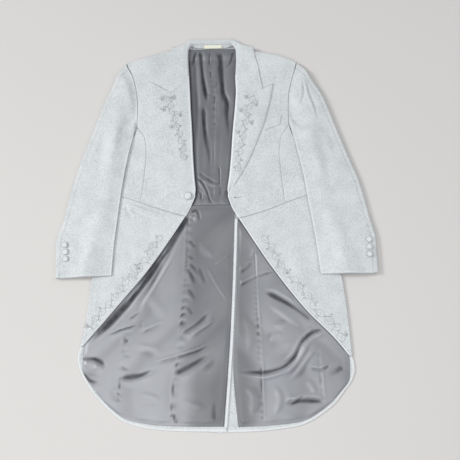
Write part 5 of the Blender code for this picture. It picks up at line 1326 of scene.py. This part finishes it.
for half in HALVES:
    def leaf_face(x, y):
        return lapel_face(half, x, y) + 0.9 * smooth((x - half.front_edge(y) - 6) / 30)

    skirt_vine = vine(skirt_path(half), *SKIRT_VINE, 0.7 + half.sign, SKIRT_BLOSSOMS)
    jobs = {"lapel": (vine(*LAPEL_VINES[half.name]), leaf_face), "skirt": (skirt_vine, half.front_face)}
    for where, ((lines, spots), face) in jobs.items():
        laid = [on_cloth(half, line, face) for line in lines]
        points, faces = tube_mesh(laid, CORD[where])
        name = f"embroidery_{where}_{half.name}"
        mesh_piece(name, points, faces, "thread")
        knots = [on_cloth(half, curl(x, y, 0.9, 0, 1.0), face, 0.5) for x, y in spots]
        points, faces = tube_mesh(knots, 0.5 * MM)
        mesh_piece(name + "_knots", points, faces, "knot")

# %% [markdown]
# ## Edge stitching
# Fine tailoring pricks a row of small stitches behind each edge. Every stitch is the same four short rings, so all
# of them are worked out at once: their places come from the distance along the edge.

# %% Prick stitches
STITCH_PITCH, STITCH_LENGTH, STITCH_RISE, LAPEL_INSET, EDGE_INSET = 0.0062, 0.0034, 0.00028, -4.6, 4.4


def stitch_row(line):
    """Short arcs on a line, one each pitch, as a list of stitches."""
    run = run_along(line)
    starts = np.arange(STITCH_PITCH, run[-1] - STITCH_PITCH, STITCH_PITCH)
    at = starts[:, None] + np.linspace(0, STITCH_LENGTH, 4)[None]
    arc = np.stack([np.interp(at, run, line[:, k]) for k in range(3)], axis=-1)
    arc[..., 2] += STITCH_RISE * np.array([-0.6, 1.0, 1.0, -0.6])[None]
    return list(arc)


stitches = []
for half in HALVES:
    peak_y, on_lapel = GORGE[half.name][-1][1], functools.partial(lapel_face, half)
    rows = (  # first and last y, points, edge, inset, the cloth's height and the lift over it
        (BREAK_Y + 34, peak_y - 7, 200, half.lapel_edge, LAPEL_INSET, on_lapel, 0.5),
        (half.waist_y - 4, half.fold_foot + 8, 240, half.cutaway, EDGE_INSET, half.front_face, 0.35),
        (BREAK_Y - 4, half.waist_y + 4, 60, half.front_edge, EDGE_INSET, half.front_face, 0.15))
    for first, last, count, edge, inset, face, lift in rows:
        y = np.linspace(first, last, count)
        x = edge(y) + inset
        stitches += stitch_row(half.place(x, y, face(x, y) + lift))
mesh_piece("edge_stitching", *tube_mesh(stitches, 0.3 * MM, sides=5), "thread")
print("stitches", len(stitches))

# %% [markdown]
# ## Buttons, buttonhole, pocket welt and label
# A covered button is a dome of the coat's own cloth drawn over a disc. Its profile is turned about its own axis by
# a formula, which keeps it one closed skin.

# %% Covered buttons
def turned(name, x, y, z, profile, slot, node=None, steps=48):
    """Surface of revolution: (r cos a, r sin a, h) for each (r, h) of the profile, closed at both poles. A ring of
    painted shade is marked round its edge: exp(-((r/R - 0.92) / 0.09)^2)."""
    a = np.linspace(0, 2 * math.pi, steps, endpoint=False)
    r, h = profile[1:-1, 0], profile[1:-1, 1]
    ring = np.stack([x + r[:, None] * np.cos(a), y + r[:, None] * np.sin(a), z + h[:, None] + 0 * a[None]], axis=-1)
    ring = ring.reshape(-1, 3)
    index = np.arange(len(r) * steps).reshape(len(r), steps)
    after = np.roll(index, -1, axis=1)
    faces = np.stack([index[:-1], index[1:], after[1:], after[:-1]], axis=-1).reshape(-1, 4).tolist()
    top, low = len(ring), len(ring) + 1
    faces += [[top, i, j] for i, j in zip(index[0].tolist(), after[0].tolist())]
    faces += [[low, j, i] for i, j in zip(index[-1].tolist(), after[-1].tolist())]
    points = to_model(*np.vstack([ring, [[x, y, z + profile[0, 1]], [x, y, z + profile[-1, 1]]]]).T)
    edge = np.append(np.repeat(bell(r / r.max() - 0.92, 0.09), steps), [0.0, 0.0])
    mesh_piece(name, points, faces, slot, replaces=(node,) if node else (), marks={"hollow": edge})


def button_profile(radius, height):
    """Low dome with a groove, on a rim that rolls under: h = height * (0.58 + 0.42 cos(s)^0.8 - groove)."""
    s = np.linspace(0, 1, 22) * math.pi / 2
    r = np.sin(s) ** 0.9
    dome = np.stack([r, 0.58 + 0.42 * np.cos(s) ** 0.8 - 0.14 * bell(r - 0.74, 0.06)], axis=1)
    return np.vstack([dome, [(1.0, 0.4), (0.96, 0.12), (0.86, 0.05), (0.5, 0.0), (0.0, 0.0)]]) * (radius, height)


CUFF_BUTTONS = {
    "right": ((380, -70), (377.5, -88), (376, -106)),
    "left": ((394, -70), (393, -89), (392, -108)),
}
FRONT_BUTTON, FRONT_SIZE, CUFF_SIZE = (67.0, 55.0), (10.0, 5.0), (7.5, 4.0)
turned("covered_button_front", -FRONT_BUTTON[0], FRONT_BUTTON[1], float(RIGHT.shell(*FRONT_BUTTON)) + REST,
       button_profile(*FRONT_SIZE), "button", "front_button")
for half in HALVES:
    for number, (x, y) in enumerate(CUFF_BUTTONS[half.name], 1):
        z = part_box(f"cuff_button_{half.name}_{number}")[0].z * 1000
        turned(f"covered_button_{half.name}_{number}", half.sign * x, y, z, button_profile(*CUFF_SIZE), "button",
               f"cuff_button_{half.name}_{number}")
print("buttons", sum(name.startswith("covered") for name in pieces))

# %% Buttonhole on the wearer's left, by the break
angle = np.linspace(0, 2 * math.pi, 40)
eye_x, hole_y, slit_x, slit_reach = 55.5, 49.0, 63.5, 6.5
eye = np.stack([eye_x + 2.0 * np.cos(angle), hole_y + 1.9 * np.sin(angle)], axis=1)
slit = np.stack([slit_x + slit_reach * np.cos(angle),
                 hole_y + 0.8 * np.sin(angle) + 0.12 * slit_reach * np.cos(angle)], axis=1)
binding = [on_cloth(LEFT, loop, LEFT.front_face, 0.2) for loop in (eye, slit)]
mesh_piece("buttonhole_binding", *tube_mesh(binding, 0.5 * MM), "thread")
# The eye is a dark disc of painted shade where the buttonhole stands open.
turned("buttonhole_eye", eye_x, hole_y, float(LEFT.front_face(np.array(eye_x), np.array(hole_y))) + 0.02,
       np.array([(0, 0.16), (0.9, 0.15), (1.6, 0.12), (1.7, 0.02), (1.2, -0.05), (0, -0.05)]), "dark")
print("buttonhole binding:", len(binding), "loops")

# %% Chest welt
WELT = ((139.5, 234), (181, 251), (143.5, 263), (188, 281))
a, b = np.linspace(0, 1, 40)[None, :, None], np.linspace(0, 1, 26)[:, None, None]
low_in, low_out, high_in, high_out = np.array(WELT)
flat = (1 - b) * ((1 - a) * low_in + a * low_out) + b * ((1 - a) * high_in + a * high_out)
away = from_edges(flat, "left", "right", "top", "bottom")
rise = 0.7 * (1 - bell(away, 1.3)) - 0.25 * bell(away - 3.2, 0.9)
z = LEFT.shell(flat[..., 0], flat[..., 1]) + REST + 0.5 + rise
cloth_piece("cloth_chest_welt", LEFT.place(flat[..., 0], flat[..., 1], z), WELT_WALL, "cloth", node="chest_welt")

# %% Blank label on the standing neck
LABEL_X, LABEL_HALF_WIDTH, LABEL_GAP, STAND_SEAM_LIFT = 3.0, 24.5, 1.0, 0.15


def make_label():
    """A strip of the standing neck's own profile, moved out along its normal by a gap and a slight wave."""
    _, stand_y, stand_z = collar_surface(RIGHT, np.array([1.0]), np.array([0.05]), np.linspace(0, 5, 60))
    line = np.stack([stand_y[0, 1:], stand_z[0, 1:]], axis=1)
    run = run_along(line)
    shares = run[-1] * np.linspace(0.99, 0.56, 12)
    yz = np.stack([np.interp(shares, run, line[:, k]) for k in range(2)], axis=1)
    slope = line[-1] - line[20]
    normal = np.array([slope[1], -slope[0]]) / np.linalg.norm(slope)
    xs = LABEL_X + LABEL_HALF_WIDTH * np.linspace(-1, 1, 30)
    off = LABEL_GAP + SEAM + 0.12 * np.sin(xs / 5.0)[None]
    y = yz[:, :1] + normal[0] * off
    z = yz[:, 1:] + normal[1] * off
    cloth_piece("woven_label", to_model(np.tile(xs[None], (len(y), 1)), y, z), LABEL_WALL, "label", node="neck_label")


make_label()
stand_lines = []
for half in HALVES:
    surface = collar_surface(half, np.linspace(0.62, 1.0, 40), np.array([0.05]), np.array([2.35]))
    x, y, z = (part[:, -1] for part in surface)
    stand_lines.append(half.place(x, y, z + STAND_SEAM_LIFT))
mesh_piece("stand_seam", *tube_mesh(stand_lines, 0.3 * MM), "thread")
print("stand seam:", len(stand_lines), "lines")

# %% [markdown]
# ## Materials
# Shader sums are written as Python: a small class wraps a socket, so that `1 - mask` or `noise * 0.2` adds the Math
# node itself. Colours go through Mix nodes. Only colour, roughness and bump change over a surface.

# %% A socket that can be added, multiplied and taken away
class Wire:
    """One output socket, with the operators that the finishes use."""

    def __init__(self, tree, socket):
        self.tree, self.socket = tree, socket

    def node(self, kind, settings=None, **inputs):
        """Add a node of a type, set its settings first, then the values or links of its inputs."""
        made = self.tree.nodes.new(kind)
        for key, value in (settings or {}).items():
            setattr(made, key, value)
        for key, value in inputs.items():
            socket = made.inputs[int(key[1:]) if key[1:].isdigit() else key.replace("_", " ")]
            if isinstance(value, Wire):
                self.tree.links.new(value.socket, socket)
            else:
                socket.default_value = value
        return made

    def sum(self, operation, first, second=0.0):
        made = self.node("ShaderNodeMath", {"operation": operation}, i0=first, i1=second)
        return Wire(self.tree, made.outputs[0])

    def __add__(self, other):
        return self.sum("ADD", self, other)

    def __sub__(self, other):
        return self.sum("SUBTRACT", self, other)

    def __rsub__(self, other):
        return self.sum("SUBTRACT", other, self)

    def __mul__(self, other):
        return self.sum("MULTIPLY", self, other)

    __radd__, __rmul__ = __add__, __mul__

    def noise(self, scale, detail=2.0):
        made = self.node("ShaderNodeTexNoise", None, Vector=self, Scale=scale, Detail=detail)
        return Wire(self.tree, made.outputs["Fac"])

    def band(self, low, high):
        """Soft step of a value between low and high."""
        step = {"interpolation_type": "SMOOTHSTEP"}
        made = self.node("ShaderNodeMapRange", step, Value=self, From_Min=low, From_Max=high)
        return Wire(self.tree, made.outputs["Result"])

    def blend(self, dark, light):
        """Colour between two, by this value."""
        dark, light = (colour if isinstance(colour, Wire) else (*colour, 1.0) for colour in (dark, light))
        made = self.node("ShaderNodeMix", {"data_type": "RGBA"}, i0=self, i6=dark, i7=light)
        return Wire(self.tree, made.outputs[2])


print("wire class ready")

# %% Start a finish
def start_finish(name):
    """A material with its shader, and a wire for its grain in millimetres and for its place on the object."""
    material = bpy.data.materials.new(name)
    material.use_nodes = True
    tree = material.node_tree
    shader = tree.nodes["Principled BSDF"]
    uv = tree.nodes.new("ShaderNodeUVMap")
    uv.uv_map = "grain"
    wire = Wire(tree, uv.outputs[0])
    scaled = wire.node("ShaderNodeVectorMath", {"operation": "SCALE"}, i0=wire, Scale=1000.0)
    coordinates = tree.nodes.new("ShaderNodeTexCoord")
    at = Wire(tree, coordinates.outputs["Object"])
    place = wire.node("ShaderNodeVectorMath", {"operation": "SCALE"}, i0=at, Scale=1000.0)
    materials[name] = material
    return shader, Wire(tree, scaled.outputs[0]), Wire(tree, place.outputs[0])


def mark(wire, name):
    """A mark that the mesh carries at its points."""
    made = wire.node("ShaderNodeAttribute", {"attribute_name": name})
    return Wire(wire.tree, made.outputs["Fac"])


def put(wire, shader, socket):
    """Link a wire to one of the shader's inputs."""
    wire.tree.links.new(wire.socket, shader.inputs[socket])


def hold(shader, **values):
    """Set inputs of a shader that stay the same all over."""
    for key, value in values.items():
        shader.inputs[key.replace("_", " ")].default_value = value


def tinted(colour, *layers):
    """Tones laid over a colour one after the other, each by its own mask."""
    for mask, tone in layers:
        colour = mask.blend(colour, tone)
    return colour


def bump(height, shader, strength, depth):
    """Bump from a height, with its depth in metres."""
    made = height.node("ShaderNodeBump", None, Strength=strength, Distance=depth, Height=height)
    height.tree.links.new(made.outputs["Normal"], shader.inputs["Normal"])


def threads(grain, pitch):
    """Plain weave: the product of two sine waves across and along, pitch in millimetres."""
    split = grain.node("ShaderNodeSeparateXYZ", None, Vector=grain)
    across, down = (Wire(grain.tree, split.outputs[k]) * (2 * math.pi / pitch) for k in range(2))
    return grain.sum("SINE", across) * grain.sum("SINE", down)


print("finish helpers ready")

# %% [markdown]
# ### Silver-grey cloth
# Seen close it is a crêpe-like weave with a fine mottle and a faint sparkle. Two noises at different sizes tint it,
# a third makes small bright slubs, and the weave with the mottle gives the bump.

# %% Cloth, thread, knots and button cloth
# The rim tone is a painted highlight and the groove tone is painted shade; marks on the meshes lay them on.
SLUB, FADED, RIM_HIGHLIGHT, GROOVE_SHADE = (0.86, 0.88, 0.9), (0.66, 0.67, 0.66), (0.86, 0.875, 0.88), (0.22, 0.23, 0.235)


def cloth_finish(name, dark, light, pitch, rough, relief):
    """Mottled cloth between two colours, with a painted highlight where the rim mark is set and painted shade where the
    hollow mark is set.
    """
    shader, grain, place = start_finish(name)
    speckle, mottle, wide = place.noise(0.8, 2.0), place.noise(0.3, 1.0), place.noise(0.03, 2.0)
    fleck = place.noise(0.45, 1.0).band(0.6, 0.7)
    cloth = (speckle * 0.35 + mottle * 0.45 + wide * 0.2).band(0.34, 0.66).blend(dark, light)
    cloth = tinted(cloth, (fleck * 0.28, SLUB), (wide.band(0.4, 0.7) * 0.12, FADED),
                   (mark(place, "rim") * 0.75, RIM_HIGHLIGHT), (mark(place, "hollow") * 0.6, GROOVE_SHADE))
    put(cloth, shader, "Base Color")
    put(rough + speckle * 0.12 - fleck * 0.2, shader, "Roughness")
    bump(threads(grain, pitch) * 0.25 + speckle * 0.9 + mottle * 0.8, shader, 0.55, relief * MM)
    hold(shader, Sheen_Weight=0.12, Specular_IOR_Level=0.35)


cloth_finish("cloth", (0.49, 0.513, 0.512), (0.675, 0.7, 0.694), 0.9, 0.62, 0.5)
cloth_finish("button", (0.58, 0.6, 0.6), (0.72, 0.74, 0.735), 0.7, 0.62, 0.3)
# The thread's colour is darker than the cloth, partly its own tone and partly painted shade along the raised cord.
for name, dark, light in (("thread", (0.36, 0.378, 0.38), (0.54, 0.56, 0.56)),
                          ("knot", (0.19, 0.194, 0.2), (0.33, 0.335, 0.34))):
    shader, _, place = start_finish(name)
    twist = place.noise(2.2, 1.0)
    put(twist.band(0.35, 0.65).blend(dark, light), shader, "Base Color")
    bump(twist, shader, 0.5, 0.3 * MM)
    hold(shader, Roughness=0.42)
# The dark finish is painted shade, for the buttonhole's open eye.
shader, _, place = start_finish("dark")
put(place.noise(1.0).blend((0.02, 0.02, 0.022), (0.05, 0.05, 0.055)), shader, "Base Color")
hold(shader, Roughness=0.9)
print("finishes:", sorted(materials))

# %% [markdown]
# ### Satin and label
# Satin is a smooth weave with a low roughness, so the folds do part of the work. A fine twill line and a slow drift of
# tone keep it from looking like metal. Its colour also carries painted light: a glint, highlights on fold crests,
# sheen towards the lower left and the sides, and shade high on the back, in the middle, in the hollows of the folds
# and along the edges that lie over it.

# %% Satin and label
# Painted light in the satin's colour: a glint from fine noise, highlights on the fold crests, sheen towards the lower
# left and the sides, and shade high on the back, in the middle and in the hollows.
SATIN, GLINT, CREST_HIGHLIGHT = ((0.202, 0.207, 0.22), (0.252, 0.253, 0.259)), (0.34, 0.345, 0.36), (0.44, 0.445, 0.475)
UPPER_SHADE, MIDDLE_SHADE, HOLLOW_SHADE = (0.1, 0.104, 0.113), (0.1, 0.102, 0.105), (0.012, 0.013, 0.018)
FAR_SHEEN, SIDE_SHEEN = (0.34, 0.345, 0.365), (0.34, 0.346, 0.36)
shader, grain, place = start_finish("lining")
drift, fine = place.noise(0.009, 2.0), place.noise(0.9, 2.0)
diagonal = {"wave_type": "BANDS", "bands_direction": "DIAGONAL"}
slant = grain.node("ShaderNodeTexWave", diagonal, Vector=grain, Scale=0.55, Distortion=0.6, Detail=1.0)
twill = Wire(grain.tree, slant.outputs["Fac"])
split = place.node("ShaderNodeSeparateXYZ", None, Vector=place)
east, north = (Wire(place.tree, split.outputs[k]) for k in range(2))
aside, below = east.sum("ABSOLUTE", east - 5.0), 1.0 - north.band(10.0, 60.0)
far_corner = (east * -1.0 - north).band(250.0, 720.0)
middle = (1.0 - aside.band(52.0, 94.0)) * below * ((north * -1.0).band(330.0, 430.0) * 0.3 + 0.36)
uneven = place.noise(0.05, 3.0) * 0.55 + 0.68
satin = tinted(drift.band(0.35, 0.68).blend(*SATIN), (fine * 0.18, GLINT), (mark(place, "crest") * 0.55, CREST_HIGHLIGHT),
               (north.band(20.0, 60.0) * 0.45, UPPER_SHADE), (far_corner * 0.62, FAR_SHEEN),
               (aside.band(70.0, 120.0) * below * 0.44, SIDE_SHEEN), (middle, MIDDLE_SHADE),
               (mark(place, "hollow") * uneven, HOLLOW_SHADE))
put(satin, shader, "Base Color")
put(0.42 + drift * 0.06 + fine * 0.05 + mark(place, "hollow") * 0.25, shader, "Roughness")
bump(twill * 0.6 + fine * 0.5, shader, 0.18, 0.12 * MM)
hold(shader, Metallic=0.2, Specular_IOR_Level=0.65)
shader, grain, place = start_finish("label")
put(place.noise(0.8).band(0.35, 0.65).blend((0.80, 0.79, 0.62), (0.90, 0.89, 0.76)), shader, "Base Color")
bump(threads(grain, 0.6), shader, 0.4, 0.15 * MM)
hold(shader, Roughness=0.6)
for thing in pieces.values():
    thing.data.materials.append(materials[thing.data["finish"]])
print("pieces with a finish:", len(pieces))

# %% [markdown]
# Each sheet's cut is measured along its own surface, and the sheets that it lies on are listed. The sides, the
# skirts and the left back lie on the floor. A star stands for the sheet's own half.

# %% Sheets
LIES_ON = {
    "cloth_front": ("cloth_back_*", "cloth_side_*"), "cloth_back_right": ("cloth_back_left",),
    "cloth_lapel": ("cloth_front_*",), "cloth_chest_welt": ("cloth_front_left",),
    "cloth_collar": ("cloth_front_right", "cloth_front_left", "cloth_back_right", "cloth_back_left"),
    "cloth_sleeve_upper": ("cloth_sleeve_under_*",),
    "cloth_sleeve_under": ("cloth_front_*", "cloth_side_*", "cloth_skirt_*"),
    "satin_back": ("cloth_back_right", "cloth_back_left"), "satin_skirt": ("cloth_back_*", "cloth_skirt_*"),
    "hem_band": ("cloth_back_*", "cloth_skirt_*"), "vent_facing": ("cloth_back_right",),
}
for name, (width, length, area) in cuts.items():
    if min(width, length) < 0.01:
        print("too small to declare:", name, round(width, 4), round(length, 4))
        continue
    stem, _, side = name.rpartition("_")
    below = [sheet.replace("*", side) for sheet in LIES_ON.get(name, LIES_ON.get(stem, ()))]
    width, length = round(width, 4), round(length, 4)
print("sheets declared:", len(cuts))

# %% [markdown]
# ## Floor and light
# A plain pale floor and large soft lights: one high over the coat, one low from the left of the collar that rakes
# the satin, and a weak one from the right.

# %% Stage
floor_mesh = bpy.data.meshes.new("floor")
floor_mesh.from_pydata([(-4, -4, -0.0006), (4, -4, -0.0006), (4, 4, -0.0006), (-4, 4, -0.0006)], [], [(0, 1, 2, 3)])
floor = bpy.data.objects.new("floor", floor_mesh)
bpy.context.scene.collection.objects.link(floor)
floor_material = bpy.data.materials.new("floor")
floor_material.use_nodes = True
hold(floor_material.node_tree.nodes["Principled BSDF"], Base_Color=(0.62, 0.6, 0.57, 1.0), Roughness=0.9)
floor_mesh.materials.append(floor_material)


def soft_light(name, position, target, size, power, colour):
    lamp = bpy.data.lights.new(name, "AREA")
    lamp.shape, lamp.size, lamp.energy, lamp.color = "SQUARE", size, power, colour
    thing = bpy.data.objects.new(name, lamp)
    bpy.context.scene.collection.objects.link(thing)
    thing.location = position
    thing.rotation_mode = "QUATERNION"
    thing.rotation_quaternion = (Vector(target) - Vector(position)).to_track_quat("-Z", "Y")


soft_light("sheen", (-0.35, -1.1, 2.2), (-0.05, -0.3, 0), 1.3, 24, (0.99, 0.99, 1.0))
soft_light("key", (-4.8, 1.0, 3.4), (0, 0, 0), 1.5, 205, (1.0, 0.998, 0.995))
soft_light("fill", (2.6, 0.8, 2.4), (0.2, 0, 0), 1.6, 26, (1.0, 0.995, 0.985))
bpy.context.scene.view_settings.view_transform = "Standard"
world = bpy.data.worlds.new("world")
world.use_nodes = True
hold(world.node_tree.nodes["Background"], Color=(0.88, 0.92, 1.0, 1.0), Strength=0.42)
bpy.context.scene.world = world
